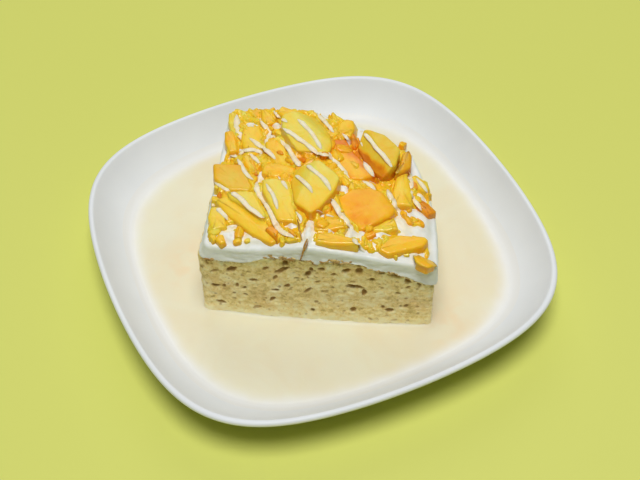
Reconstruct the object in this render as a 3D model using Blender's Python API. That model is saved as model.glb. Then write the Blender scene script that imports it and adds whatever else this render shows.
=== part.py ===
"""A square of milk cake in a pool of milk on a soft-square plate.

The sponge block stands on the plate's floor with the milk round its foot. A slab of
whipped cream follows its uneven top, and cut pieces of mango lie on the cream.
Sizes are in metres, +Z is up, and the origin is the middle of the plate's foot.
"""

import math
import random

import bmesh
import bpy
from mathutils import Matrix, Vector

MM = 0.001
GAP = 0.3 * MM  # between pieces that touch

# ---- plate: a soft square, turned profile warped to a squircle
PLATE_HALF = 95.0 * MM  # middle of a side, at the rim
PLATE_HEIGHT = 23.0 * MM
PLATE_SEGMENTS = 64
FLOOR_Z = 5.2 * MM  # top of the floor
FLOOR_UNDER_Z = 1.4 * MM
FLOOR_HALF = 66.6 * MM  # where the floor turns up into the wall
LIP_RADIUS = 1.3 * MM
WALL_SLOPE_AT_LIP = math.radians(57.0)
FOOT_OUT, FOOT_IN = 59.5 * MM, 54.0 * MM
RIM_POWER, FLOOR_POWER = 3.8, 2.9  # squircle exponents
RIM_BOW = 0.021

# ---- milk
MILK_Z = 8.4 * MM

# ---- cake, in its own frame: x along the cut front face, y towards the back
CAKE_CORNER = Vector((-57.8 * MM, -12.6 * MM))
CAKE_YAW = math.radians(-30.1)
FRONT_WIDTH = 96.0 * MM
BACK_WIDTH = 83.0 * MM
LEFT_DEPTH = 84.0 * MM
RIGHT_DEPTH = 68.0 * MM
FRONT_BULGE, RIGHT_BULGE, BACK_BULGE = 1.8 * MM, 4.0 * MM, 3.0 * MM
CORNER_ROUND = 2.6 * MM
CREAM_OVERHANG = 1.4 * MM  # past the sponge at the right end of the front
CREAM_DRAFT = 2.4 * MM  # how far the cream leans in at its left front corner
CREAM_EDGE_ROUND = 1.8 * MM
SINK = 4.0 * MM  # how far below the cream's surface a piece of mango starts
AROUND = 6.0 * MM  # how far the surface that trims the mango's undersides runs past it
CELLS = (16, 12)  # the same for the sponge and the cream, so their faces run level


def smooth(a, b, x):
    t = min(1.0, max(0.0, (x - a) / (b - a)))
    return t * t * (3 - 2 * t)


# ------------------------------------------------------------------ plate
def power_at(r):
    """Squircle exponent at profile radius r: rounder at the foot than at the rim."""
    return FLOOR_POWER + (RIM_POWER - FLOOR_POWER) * smooth(
        0.55 * PLATE_HALF, PLATE_HALF, r
    )


def squircle(angle, r):
    """How far the outline stands from the axis at this angle, over its mid-side radius r."""
    n = power_at(r)
    bow = RIM_BOW * smooth(0.3 * PLATE_HALF, 0.9 * PLATE_HALF, r)
    c, s = abs(math.cos(angle)), abs(math.sin(angle))
    return (c**n + s**n) ** (-1 / n) * (1 + bow * math.cos(4 * angle)) / (1 + bow)


LIP_CENTRE = Vector((PLATE_HALF - LIP_RADIUS, PLATE_HEIGHT - LIP_RADIUS))
WALL_END = LIP_CENTRE + LIP_RADIUS * Vector(
    (-math.sin(WALL_SLOPE_AT_LIP), math.cos(WALL_SLOPE_AT_LIP))
)
WALL_RISE = WALL_END.y - FLOOR_Z
WALL_RUN = WALL_END.x - FLOOR_HALF
WALL_CURVE = math.tan(WALL_SLOPE_AT_LIP) * WALL_RUN / WALL_RISE


def inner_z(r):
    """Height of the plate's upper surface at profile radius r."""
    if r <= FLOOR_HALF:
        return FLOOR_Z
    return FLOOR_Z + WALL_RISE * ((r - FLOOR_HALF) / WALL_RUN) ** WALL_CURVE


def inner_slope(r):
    if r <= FLOOR_HALF:
        return 0.0
    return (
        WALL_CURVE
        * WALL_RISE
        / WALL_RUN
        * ((r - FLOOR_HALF) / WALL_RUN) ** (WALL_CURVE - 1)
    )


def wall_radii(count):
    """Profile radii from the floor's edge to the lip, closer together at the turn."""
    return [FLOOR_HALF + WALL_RUN * (k / count) ** 0.9 for k in range(count + 1)]


def plate_profile():
    inner = [(r * FLOOR_HALF, FLOOR_Z) for r in (0.0, 0.5)]
    inner += [(r, inner_z(r)) for r in wall_radii(7)]
    lip = []
    for k in range(1, 4):
        a = math.pi / 2 + WALL_SLOPE_AT_LIP - k * math.pi / 4
        lip.append(
            (
                LIP_CENTRE.x + LIP_RADIUS * math.cos(a),
                LIP_CENTRE.y + LIP_RADIUS * math.sin(a),
            )
        )
    under = []
    for r in reversed(wall_radii(6)):
        slope = math.atan(inner_slope(r))
        share = (r - FLOOR_HALF) / WALL_RUN
        thick = 3.8 * MM + (2 * LIP_RADIUS - 3.8 * MM) * share
        x = r + thick * math.sin(slope)
        z = inner_z(r) - thick * math.cos(slope)
        under.append((x, max(z, FLOOR_UNDER_Z)))
    foot = [
        (FOOT_OUT, FLOOR_UNDER_Z),
        (FOOT_OUT - 1.0 * MM, 0.3 * MM),
        (FOOT_OUT - 1.5 * MM, 0.0),
        (FOOT_IN + 0.8 * MM, 0.0),
        (FOOT_IN + 0.3 * MM, 0.3 * MM),
        (FOOT_IN - 0.5 * MM, FLOOR_UNDER_Z),
        (0.0, FLOOR_UNDER_Z),
    ]
    return inner + lip + under + foot


def turned_squircle(name, profile, segments):
    """Spins a closed profile, which starts and ends on the axis, and warps it to the squircle."""
    bm = bmesh.new()
    verts = [bm.verts.new((x, 0.0, z)) for x, z in profile]
    edges = [bm.edges.new(pair) for pair in zip(verts, verts[1:])]
    bmesh.ops.spin(
        bm,
        geom=verts + edges,
        cent=(0, 0, 0),
        axis=(0, 0, 1),
        angle=2 * math.pi,
        steps=segments,
        use_merge=True,
    )
    bmesh.ops.remove_doubles(bm, verts=bm.verts, dist=0.001 * MM)
    for v in bm.verts:
        r = math.hypot(v.co.x, v.co.y)
        if r > 0.01 * MM:
            k = squircle(math.atan2(v.co.y, v.co.x), r)
            v.co.x *= k
            v.co.y *= k
    bmesh.ops.recalc_face_normals(bm, faces=bm.faces)
    return finished(name, bm)


# ------------------------------------------------------------------ cake
def plan(u, v, h=0.0, grow=0.0, of_cream=False):
    """Cake-frame (x, y) at u along the front, v towards the back and h up, each 0 to 1."""
    width = FRONT_WIDTH + (BACK_WIDTH - FRONT_WIDTH) * v
    depth = LEFT_DEPTH + (RIGHT_DEPTH - LEFT_DEPTH) * u * u
    x, y = width * u, depth * v
    bow_u, bow_v = 4 * u * (1 - u), (4 * v * (1 - v)) ** 1.4
    x += RIGHT_BULGE * bow_v * u
    y += BACK_BULGE * bow_u * v - FRONT_BULGE * bow_u * (1 - v)
    if of_cream:
        x += CREAM_OVERHANG * u**4 * (1 - v) ** 2
        x += CREAM_DRAFT * h * (1 - u) ** 4 * (1 - 0.8 * v)
    return x + grow * (2 * u - 1), y + grow * (2 * v - 1)


def sponge_top(x, y):
    """Height of the sponge: a step up left of the middle, a sag at the right front corner."""
    x, y = x / MM, y / MM
    z = 41.2 + 6.8 * smooth(23.5, 37.5, x)
    if x > 44:
        z -= 6.0 * ((x - 44) / 38) ** 1.6 + 4.5 * max(0.0, (x - 82) / 14) ** 2
    share = min(1.0, max(0.0, y / 84))
    z = 41.2 + (z - 41.2) * (1 - 0.6 * share) - 3.0 * share * share
    return z * MM


def cream_top(x, y):
    """Height of the whipped cream."""
    x, y = x / MM, y / MM
    if x < 45:
        z = 50.0 + 5.0 * math.exp(-(((x - 45) / 18) ** 2))
    else:
        z = 55.0 - 9.2 * ((x - 45) / 52) ** 1.15
    share = min(1.0, max(0.0, y / 84))
    z = 50.0 + (z - 50.0) * (1 - 0.5 * share) - 2.3 * share**1.5
    z -= 3.0 * share * smooth(40, 85, x)
    return z * MM


def to_plate(x, y):
    c, s = math.cos(CAKE_YAW), math.sin(CAKE_YAW)
    return CAKE_CORNER.x + c * x - s * y, CAKE_CORNER.y + s * x + c * y


def cake_block(name, low, high, cells, grow=0.0, of_cream=False, rim_round=0.0):
    """A cube primitive, subdivided and mapped to the plan, between two height functions."""
    bm = bmesh.new()
    bmesh.ops.create_cube(bm, size=1.0)
    for axis, count in enumerate(cells):
        along = [
            e
            for e in bm.edges
            if abs(e.verts[0].co[axis] - e.verts[1].co[axis]) > 1e-6
        ]
        if count > 1:
            bmesh.ops.subdivide_edges(
                bm, edges=along, cuts=count - 1, use_grid_fill=True
            )
    corners = [
        e
        for e in bm.edges
        if all(abs(abs(v.co.x) - 0.5) + abs(abs(v.co.y) - 0.5) < 1e-5 for v in e.verts)
    ]
    for v in bm.verts:
        u, w, h = (c + 0.5 for c in v.co)
        x, y = plan(u, w, h, grow, of_cream)
        z = low(x, y) + (high(x, y) - low(x, y)) * h
        px, py = to_plate(x, y)
        v.co = Vector((px, py, z))
    bmesh.ops.bevel(
        bm,
        geom=corners,
        offset=CORNER_ROUND + grow,
        segments=3,
        profile=0.5,
        affect="EDGES",
        clamp_overlap=True,
    )
    bmesh.ops.recalc_face_normals(bm, faces=bm.faces)
    if rim_round:
        rim = [
            e
            for e in bm.edges
            if len(e.link_faces) == 2
            and sorted(f.normal.z > 0.7 for f in e.link_faces) == [False, True]
        ]
        bmesh.ops.bevel(
            bm,
            geom=rim,
            offset=rim_round,
            segments=2,
            profile=0.5,
            affect="EDGES",
            clamp_overlap=True,
        )
        bmesh.ops.recalc_face_normals(bm, faces=bm.faces)
    return finished(name, bm)


# ------------------------------------------------------------------ mango
# One row for each piece, in the cake frame: its middle (mm), length, width, how wide
# each end is over the middle, height above the cream (mm), turn of its length, lean
# back and lean right (degrees).
MANGO = [
    ("mango_tall", 68.8, 54.3, 25.0, 16.6, 0.35, 0.82, 11.0, -50, 5, 3),
    ("mango_centre", 44.4, 27.4, 27.0, 20.3, 0.77, 0.40, 7.0, -94, 3, -2),
    ("mango_back", 37.8, 62.2, 27.5, 21.0, 0.54, 0.63, 7.0, 122, 3, 3),
    ("mango_right", 66.2, 24.6, 19.8, 22.0, 0.73, 0.59, 4.5, 129, 2, 2),
    ("mango_middle", 31.2, 22.8, 22.0, 12.0, 0.66, 0.79, 6.0, 113, 1, 0),
    ("mango_left", 9.7, 35.3, 20.5, 13.1, 0.40, 0.86, 5.0, 140, 2, 0),
    ("mango_pale_left", 19.2, 19.8, 20.0, 8.0, 0.40, 0.90, 6.0, 134, 1, 0),
    ("mango_front_left", 18.6, 12.4, 31.5, 9.2, 0.60, 0.76, 4.0, -41, 0, 0),
    ("mango_flat", 57.0, 50.0, 26.5, 11.6, 0.72, 0.71, 4.0, -55, 0, 0),
    ("mango_slice", 81.2, 51.5, 14.0, 5.0, 0.76, 0.73, 8.0, 81, 0, 4),
    ("mango_side", 80.6, 37.2, 20.0, 8.7, 0.41, 0.94, 5.0, -86, 0, 2),
    ("mango_front_right", 82.9, 6.8, 21.2, 9.2, 0.41, 0.75, 4.0, 21, 0, 0),
    ("mango_front_a", 52.8, 9.8, 12.5, 7.0, 0.71, 0.69, 3.5, 12, 0, 0),
    ("mango_front_b", 56.8, 2.2, 16.9, 6.2, 0.90, 0.45, 3.5, -4, 0, 0),
    ("mango_behind", 74.8, 14.6, 10.4, 6.6, 0.42, 0.90, 3.5, 20, 0, 0),
    ("mango_corner", 91.8, -0.2, 8.6, 8.4, 0.82, 0.62, 2.5, 121, -8, 8),
    ("mango_edge", 90.6, 30.9, 10.0, 5.2, 0.41, 0.90, 3.0, -50, 0, 3),
    ("mango_side_right", 88.0, 44.0, 11.0, 6.6, 0.50, 0.40, 3.5, -51, 0, 3),
    ("mango_between", 26.1, 51.9, 16.5, 8.8, 0.66, 0.61, 4.5, 115, 0, 0),
    ("mango_low", 28.3, 41.2, 14.0, 8.6, 0.50, 0.69, 4.0, 174, 0, 0),
    ("mango_left_b", 13.9, 61.4, 14.4, 10.4, 0.73, 0.69, 4.5, 100, 2, 0),
    ("mango_left_c", 5.0, 58.7, 13.6, 5.4, 0.70, 0.71, 4.5, 108, 0, -2),
    ("mango_left_d", 3.6, 73.1, 12.4, 4.5, 0.72, 0.71, 3.5, 102, 0, 0),
    ("mango_ring", 15.2, 44.9, 11.6, 4.4, 0.41, 0.83, 4.0, 114, 0, 0),
    ("mango_back_left", 18.4, 75.9, 10.5, 6.2, 0.41, 0.84, 5.0, -63, 0, 0),
    ("mango_back_edge", 28.4, 78.2, 11.4, 6.6, 0.69, 0.71, 5.0, -27, 3, 0),
    ("mango_back_right", 54.5, 70.4, 9.6, 8.0, 0.50, 0.82, 5.0, -100, 2, 0),
    ("mango_side_left", 6.3, 12.8, 13.0, 7.4, 0.45, 0.91, 3.5, -71, 0, -2),
]
CUT_EDGE = 1.0 * MM  # softened edge of a cut piece


def mango_piece(name, row, grow=0.0):
    """A six-sided prism, widest at its middle, with a slightly uneven top and soft edges."""
    _, x, y, length, width, end_a, end_b, rise, turn, back, right = row
    rng = random.Random(row[0])
    bm = bmesh.new()
    bmesh.ops.create_cone(
        bm,
        cap_ends=True,
        cap_tris=False,
        segments=6,
        radius1=0.5,
        radius2=0.5,
        depth=1.0,
    )
    height = rise * MM + SINK
    for v in sorted(bm.verts, key=lambda p: (round(p.co.x, 3), round(p.co.y, 3))):
        sector = round(math.degrees(math.atan2(v.co.x, v.co.y)) / 60) % 6
        side = 1.0 if sector in (0, 1, 5) else -1.0
        place = {0: 0, 3: 0, 1: 1, 2: 1, 4: -1, 5: -1}[sector]
        share = {0: 1.0, 1: end_b, -1: end_a}[place]
        top = v.co.z > 0
        taper = rng.uniform(0.90, 0.96) if top else 1.0
        lift = rng.uniform(-0.05, 0.05) * rise * MM if top else 0.0
        v.co = Vector(
            (
                place * (length / 2 * MM * taper + grow),
                side * (width / 2 * MM * share * taper + grow),
                height + lift + grow if top else -grow,
            )
        )
    bmesh.ops.bevel(
        bm,
        geom=list(bm.edges),
        offset=CUT_EDGE + 0.6 * grow,
        segments=1,
        profile=0.5,
        affect="EDGES",
        clamp_overlap=True,
    )
    bmesh.ops.recalc_face_normals(bm, faces=bm.faces)
    px, py = to_plate(x * MM, y * MM)
    z = cream_top(x * MM, y * MM) - SINK
    lean = Matrix.Rotation(math.radians(back), 4, "X") @ Matrix.Rotation(
        math.radians(right), 4, "Y"
    )
    bm.transform(
        Matrix.Translation((px, py, z))
        @ Matrix.Rotation(CAKE_YAW, 4, "Z")
        @ lean
        @ Matrix.Rotation(math.radians(turn), 4, "Z")
    )
    return finished(name, bm)


# ------------------------------------------------------------------ scene helpers
def finished(name, bm):
    mesh = bpy.data.meshes.new(name)
    bm.to_mesh(mesh)
    bm.free()
    obj = bpy.data.objects.new(name, mesh)
    return obj


def material(name, colour, roughness, metallic=0.0):
    mat = bpy.data.materials.new(name)
    mat.use_nodes = True
    shader = mat.node_tree.nodes["Principled BSDF"]
    shader.inputs["Base Color"].default_value = (*colour, 1.0)
    shader.inputs["Roughness"].default_value = roughness
    shader.inputs["Metallic"].default_value = metallic
    return mat


def put(obj, collection, mat=None):
    collection.objects.link(obj)
    if mat:
        obj.data.materials.append(mat)
    return obj


def as_cutter(obj, collection):
    collection.objects.link(obj)
    obj.hide_render = True
    obj.display_type = "WIRE"
    return obj


def cut(obj, cutter):
    mod = obj.modifiers.new("cut_" + cutter.name, "BOOLEAN")
    mod.operation = "DIFFERENCE"
    mod.object = cutter
    mod.solver = "EXACT"


def near(a, b):
    """Whether two rows of MANGO could touch, seen from above."""
    reach = (math.hypot(a[3], a[4]) + math.hypot(b[3], b[4])) / 2
    return math.hypot(a[1] - b[1], a[2] - b[2]) < reach


def main():
    for obj in list(bpy.data.objects):
        bpy.data.objects.remove(obj, do_unlink=True)
    dish = bpy.data.collections.new("milk_cake")
    cutters = bpy.data.collections.new("cutters")
    bpy.context.scene.collection.children.link(dish)
    bpy.context.scene.collection.children.link(cutters)

    porcelain = material("porcelain", (0.80, 0.80, 0.80), 0.12)
    milk_mat = material("milk", (0.82, 0.74, 0.52), 0.18)
    sponge_mat = material("sponge", (0.62, 0.48, 0.22), 0.85)
    cream_mat = material("cream", (0.86, 0.85, 0.76), 0.45)
    mango_mat = material("mango", (0.83, 0.50, 0.05), 0.25)

    plate = put(
        turned_squircle("plate", plate_profile(), PLATE_SEGMENTS), dish, porcelain
    )
    plate.data.shade_smooth()
    plate.data.set_sharp_from_angle(angle=math.radians(40))

    # The milk fills the floor up to its level and lies round the foot of the sponge.
    bottom = [(r * FLOOR_HALF, FLOOR_Z + GAP) for r in (0.0, 0.5)]
    edge = None
    for r in wall_radii(28):
        z = inner_z(r) + GAP / math.cos(math.atan(inner_slope(r)))
        if z > MILK_Z - 0.25 * MM:
            break
        edge = r
        if len(bottom) < 3 or r - bottom[-1][0] > 2.0 * MM:
            bottom.append((r, z))
    slope = inner_slope(edge)
    z_edge = inner_z(edge) + GAP / math.cos(math.atan(slope))
    rim = edge + (MILK_Z - z_edge) / slope - 0.15 * MM
    milk = put(
        turned_squircle(
            "milk", bottom + [(rim, MILK_Z), (0.0, MILK_Z)], PLATE_SEGMENTS
        ),
        dish,
        milk_mat,
    )

    sponge = put(
        cake_block("sponge", lambda x, y: FLOOR_Z + GAP, sponge_top, (*CELLS, 2)),
        dish,
        sponge_mat,
    )
    foot_space = as_cutter(
        cake_block(
            "foot_space",
            lambda x, y: 0.5 * FLOOR_Z,
            lambda x, y: 2.0 * MILK_Z,
            (*CELLS, 1),
            GAP,
        ),
        cutters,
    )
    cut(milk, foot_space)

    cream = put(
        cake_block(
            "cream",
            lambda x, y: sponge_top(x, y) + GAP,
            cream_top,
            (*CELLS, 2),
            of_cream=True,
            rim_round=CREAM_EDGE_ROUND,
        ),
        dish,
        cream_mat,
    )
    cream_space = as_cutter(
        cake_block(
            "cream_space",
            lambda x, y: sponge_top(x, y) - 4.0 * MM,
            lambda x, y: cream_top(x, y) + GAP,
            (*CELLS, 1),
            AROUND,
            of_cream=True,
        ),
        cutters,
    )

    spaces = {}
    for i, row in enumerate(MANGO):
        piece = put(mango_piece(row[0], row), dish, mango_mat)
        cut(piece, cream_space)
        for earlier in MANGO[:i]:
            if near(row, earlier):
                if earlier[0] not in spaces:
                    spaces[earlier[0]] = as_cutter(
                        mango_piece(earlier[0] + "_space", earlier, GAP), cutters
                    )
                cut(piece, spaces[earlier[0]])
    for obj in (sponge, cream):
        obj.data.shade_smooth()
        obj.data.set_sharp_from_angle(angle=math.radians(40))


main()
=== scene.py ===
import math

import bpy
import numpy as np
from mathutils import Matrix, Vector
from mathutils.bvhtree import BVHTree


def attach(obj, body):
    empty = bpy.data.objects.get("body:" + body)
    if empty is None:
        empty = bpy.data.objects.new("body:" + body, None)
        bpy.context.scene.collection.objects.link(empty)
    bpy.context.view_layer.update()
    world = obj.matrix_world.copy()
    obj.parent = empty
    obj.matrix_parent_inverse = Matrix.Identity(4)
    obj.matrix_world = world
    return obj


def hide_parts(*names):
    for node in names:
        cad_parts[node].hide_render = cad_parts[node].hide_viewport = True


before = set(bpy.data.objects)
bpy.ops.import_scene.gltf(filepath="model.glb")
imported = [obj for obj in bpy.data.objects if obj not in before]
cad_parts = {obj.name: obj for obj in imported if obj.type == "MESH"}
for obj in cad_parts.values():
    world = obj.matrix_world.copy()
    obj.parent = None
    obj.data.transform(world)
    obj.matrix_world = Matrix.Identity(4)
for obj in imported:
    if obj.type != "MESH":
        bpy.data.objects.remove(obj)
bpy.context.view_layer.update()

# Lengths are in millimetres up to make_object, which writes metres.
MM = 0.001

# ---- the plate, as in the CAD model
PLATE_HALF, PLATE_HEIGHT = 95.0, 23.0
FLOOR_Z, FLOOR_UNDER_Z, FLOOR_HALF = 5.2, 1.4, 66.6
LIP_RADIUS, LIP_SLOPE = 1.3, math.radians(57.0)
FOOT_OUT, FOOT_IN = 59.5, 54.0
RIM_POWER, FLOOR_POWER, RIM_BOW = 3.8, 2.9, 0.021
MILK_Z, MILK_HALF = 8.4, 79.9

# ---- the cake, as in the CAD model
CAKE_CORNER = np.array([-57.8, -12.6])
CAKE_YAW = math.radians(-30.1)
FRONT_WIDTH, BACK_WIDTH, LEFT_DEPTH, RIGHT_DEPTH = 96.0, 83.0, 84.0, 68.0
FRONT_BULGE, RIGHT_BULGE, BACK_BULGE = 1.8, 4.0, 3.0
CORNER_ROUND, CREAM_OVERHANG, CREAM_DRAFT = 2.6, 1.4, 2.4

# ---- the camera: solved from the rim of the plate
CAMERA_AT = (-132.131, -309.293, 384.932)
ELEVATION, AZIMUTH, ROLL = 47.859, -23.422, -1.072
LENS = 62.784


# ------------------------------------------------------------------ numbers
def smooth(a, b, x):
    t = np.clip((np.asarray(x, float) - a) / (b - a), 0.0, 1.0)
    return t * t * (3 - 2 * t)


def bump(x, at, wide):
    return np.exp(-(((np.asarray(x, float) - at) / wide) ** 2))


def lattice(ix, iy, iz, seed):
    """A number from 0 to 1 for each whole-numbered point."""
    with np.errstate(over="ignore"):
        h = (ix * 374761393 + iy * 668265263 + iz * 1442695041 + seed * 974634777) & 0xFFFFFFFF
        h = ((h ^ (h >> 13)) * 1274126177) & 0xFFFFFFFF
        h = ((h ^ (h >> 16)) * 2246822519) & 0xFFFFFFFF
    return ((h ^ (h >> 15)) & 0xFFFFFF) / float(0xFFFFFF)


def noise(x, y, z=0.0, seed=0):
    """Smooth noise from -1 to 1."""
    x, y, z = np.broadcast_arrays(*(np.asarray(c, float) for c in (x, y, z)))
    ix, iy, iz = (np.floor(c).astype(np.int64) for c in (x, y, z))
    fx, fy, fz = x - ix, y - iy, z - iz
    wx, wy, wz = (f * f * f * (f * (f * 6 - 15) + 10) for f in (fx, fy, fz))
    total = 0.0
    for dx in (0, 1):
        for dy in (0, 1):
            for dz in (0, 1):
                w = (
                    (wx if dx else 1 - wx)
                    * (wy if dy else 1 - wy)
                    * (wz if dz else 1 - wz)
                )
                total = total + w * lattice(ix + dx, iy + dy, iz + dz, seed)
    return total * 2 - 1


def fbm(x, y, z=0.0, seed=0, octaves=3, gain=0.5):
    total, size, reach = 0.0, 1.0, 0.0
    for k in range(octaves):
        f = 2.03**k
        total = total + size * noise(x * f + 17.3 * k, y * f - 9.1 * k, z * f, seed + 31 * k)
        reach += size
        size *= gain
    return total / reach


# ------------------------------------------------------------------ plate shape
def squircle(angle, r):
    """How far the outline stands from the axis, over its mid-side radius r."""
    n = FLOOR_POWER + (RIM_POWER - FLOOR_POWER) * smooth(0.55 * PLATE_HALF, PLATE_HALF, r)
    bow = RIM_BOW * smooth(0.3 * PLATE_HALF, 0.9 * PLATE_HALF, r)
    c, s = np.abs(np.cos(angle)), np.abs(np.sin(angle))
    return (c**n + s**n) ** (-1 / n) * (1 + bow * np.cos(4 * angle)) / (1 + bow)


LIP_X, LIP_Y = PLATE_HALF - LIP_RADIUS, PLATE_HEIGHT - LIP_RADIUS
WALL_RUN = LIP_X - LIP_RADIUS * math.sin(LIP_SLOPE) - FLOOR_HALF
WALL_RISE = LIP_Y + LIP_RADIUS * math.cos(LIP_SLOPE) - FLOOR_Z
WALL_CURVE = math.tan(LIP_SLOPE) * WALL_RUN / WALL_RISE


def wall_z(r):
    """Height of the plate's upper surface at profile radius r."""
    t = np.clip((np.asarray(r, float) - FLOOR_HALF) / WALL_RUN, 0.0, 1.05)
    return FLOOR_Z + WALL_RISE * t**WALL_CURVE


def wall_slope(r):
    t = np.clip((np.asarray(r, float) - FLOOR_HALF) / WALL_RUN, 1e-6, 1.0)
    return WALL_CURVE * WALL_RISE / WALL_RUN * t ** (WALL_CURVE - 1)


def profile_radius(x, y):
    """The mid-side radius r whose outline passes through this point."""
    angle, reach = np.arctan2(y, x), np.hypot(x, y)
    r = reach.copy()
    for _ in range(12):
        r = reach / squircle(angle, r)
    return r


# ------------------------------------------------------------------ cake shape
def plan(u, v, h=0.0, grow=0.0, of_cream=False):
    """Cake-frame (x, y): x along the cut front, y towards the back."""
    width = FRONT_WIDTH + (BACK_WIDTH - FRONT_WIDTH) * v
    depth = LEFT_DEPTH + (RIGHT_DEPTH - LEFT_DEPTH) * u * u
    x, y = width * u, depth * v
    bow_u, bow_v = 4 * u * (1 - u), np.clip(4 * v * (1 - v), 0, 1) ** 1.4
    x = x + RIGHT_BULGE * bow_v * u
    y = y + BACK_BULGE * bow_u * v - FRONT_BULGE * bow_u * (1 - v)
    if of_cream:
        x = x + CREAM_OVERHANG * u**4 * (1 - v) ** 2
        x = x + CREAM_DRAFT * h * (1 - u) ** 4 * (1 - 0.8 * v)
    return x + grow * (2 * u - 1), y + grow * (2 * v - 1)


def seam_z(x, y):
    """Height at which the sponge meets the cream."""
    share = np.clip(y / 84.0, 0.0, 1.0)
    z = 42.3 + 5.0 * smooth(17.5, 30.0, x) - 3.2 * smooth(66.0, 70.5, x)
    z = z - 0.16 * np.maximum(0, x - 70) - 0.33 * np.maximum(0, x - 80)
    z = z - 3.0 * bump(x, 48.6, 1.7) * (1 - smooth(0, 8, y))
    z = 41.4 + (z - 41.4) * (1 - 0.6 * share) - 3.0 * share**2
    return z


def cream_z(x, y):
    """Height of the whipped cream's upper surface."""
    left = 50.0 + 5.0 * bump(x, 45, 18)
    right = 55.0 - 9.2 * (np.maximum(0.0, x - 45) / 52) ** 1.15
    z = np.where(x < 45, left, right)
    share = np.clip(y / 84.0, 0.0, 1.0)
    z = 50.0 + (z - 50.0) * (1 - 0.5 * share) - 2.3 * share**1.5
    return z - 3.0 * share * smooth(40, 85, x)


def to_plate(x, y):
    c, s = math.cos(CAKE_YAW), math.sin(CAKE_YAW)
    return CAKE_CORNER[0] + c * x - s * y, CAKE_CORNER[1] + s * x + c * y


def to_cake(px, py):
    c, s = math.cos(CAKE_YAW), math.sin(CAKE_YAW)
    dx, dy = px - CAKE_CORNER[0], py - CAKE_CORNER[1]
    return c * dx + s * dy, -s * dx + c * dy


def rounded_square(step_front, step_rest, radius=CORNER_ROUND):
    """(u, v) round the unit square with rounded corners, from the front's left end."""
    ru, rv = radius / FRONT_WIDTH, radius / LEFT_DEPTH
    fine = []
    quarter = np.linspace(0, math.pi / 2, 24)[1:-1]
    corners = (
        ((1 - ru, rv), -math.pi / 2),
        ((1 - ru, 1 - rv), 0.0),
        ((ru, 1 - rv), math.pi / 2),
        ((ru, rv), math.pi),
    )
    starts = ((ru, 0.0), (1.0, rv), (1 - ru, 1.0), (0.0, 1 - rv))
    ends = ((1 - ru, 0.0), (1.0, 1 - rv), (ru, 1.0), (0.0, rv))
    for (a, b), ((cu, cv), first) in zip(zip(starts, ends), corners):
        t = np.linspace(0, 1, 200)[:, None]
        fine.append(np.array(a) + (np.array(b) - np.array(a)) * t)
        fine.append(
            np.stack([cu + ru * np.cos(first + quarter), cv + rv * np.sin(first + quarter)], 1)
        )
    uv = np.concatenate(fine)
    x, y = plan(uv[:, 0], uv[:, 1])
    loop = np.append(np.arange(len(uv)), 0)
    seg = np.hypot(np.diff(x[loop]), np.diff(y[loop]))
    front = (uv[:, 1] < 0.5 * rv)
    weight = seg / np.where(front, step_front, step_rest)
    at = np.concatenate([[0], np.cumsum(weight)])
    count = int(round(at[-1]))
    want = np.arange(count) * at[-1] / count
    u = np.interp(want, at, np.append(uv[:, 0], uv[0, 0]))
    v = np.interp(want, at, np.append(uv[:, 1], uv[0, 1]))
    return u, v


def outward(x, y):
    """Unit normals of a closed outline that runs anticlockwise."""
    tx = np.roll(x, -1) - np.roll(x, 1)
    ty = np.roll(y, -1) - np.roll(y, 1)
    size = np.hypot(tx, ty)
    return ty / size, -tx / size


# ------------------------------------------------------------------ meshes
def skin_faces(rows, n):
    """Quads between rows of n points, and fans to a pole before and after them."""
    i = np.arange(n)
    k = (i + 1) % n
    quads = []
    for r in range(rows - 1):
        a, b = r * n, (r + 1) * n
        quads.append(np.stack([a + i, a + k, b + k, b + i], 1))
    first, last = rows * n, rows * n + 1
    fans = [np.stack([np.full(n, first), k, i], 1)]
    top = (rows - 1) * n
    fans.append(np.stack([np.full(n, last), top + i, top + k], 1))
    return np.concatenate(quads).tolist() + np.concatenate(fans).tolist()


def make_object(name, points, faces, attributes=None, smooth_shade=True):
    """A mesh object from points in millimetres."""
    mesh = bpy.data.meshes.new(name)
    mesh.from_pydata((np.asarray(points, float) * MM).tolist(), [], faces)
    for key, values in (attributes or {}).items():
        layer = mesh.attributes.new(key, "FLOAT", "POINT")
        layer.data.foreach_set("value", np.asarray(values, np.float32).ravel())
    mesh.validate()
    if smooth_shade:
        mesh.shade_smooth()
    mesh.update()
    obj = bpy.data.objects.new(name, mesh)
    bpy.context.scene.collection.objects.link(obj)
    return obj


def skin(name, rings, low_pole, high_pole, attributes=None):
    """A closed surface from rings of points, listed from the bottom pole to the top one."""
    rings = np.asarray(rings, float)
    rows, n, _ = rings.shape
    points = np.concatenate([rings.reshape(-1, 3), [low_pole], [high_pole]])
    full = {}
    for key, values in (attributes or {}).items():
        values = np.asarray(values, float)
        full[key] = np.concatenate([values.ravel(), [values[0].mean()], [values[-1].mean()]])
    return make_object(name, points, skin_faces(rows, n), full)


def with_z(x, y, z):
    px, py = to_plate(x, y)
    return np.stack([px, py, np.broadcast_to(z, px.shape)], -1)


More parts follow.
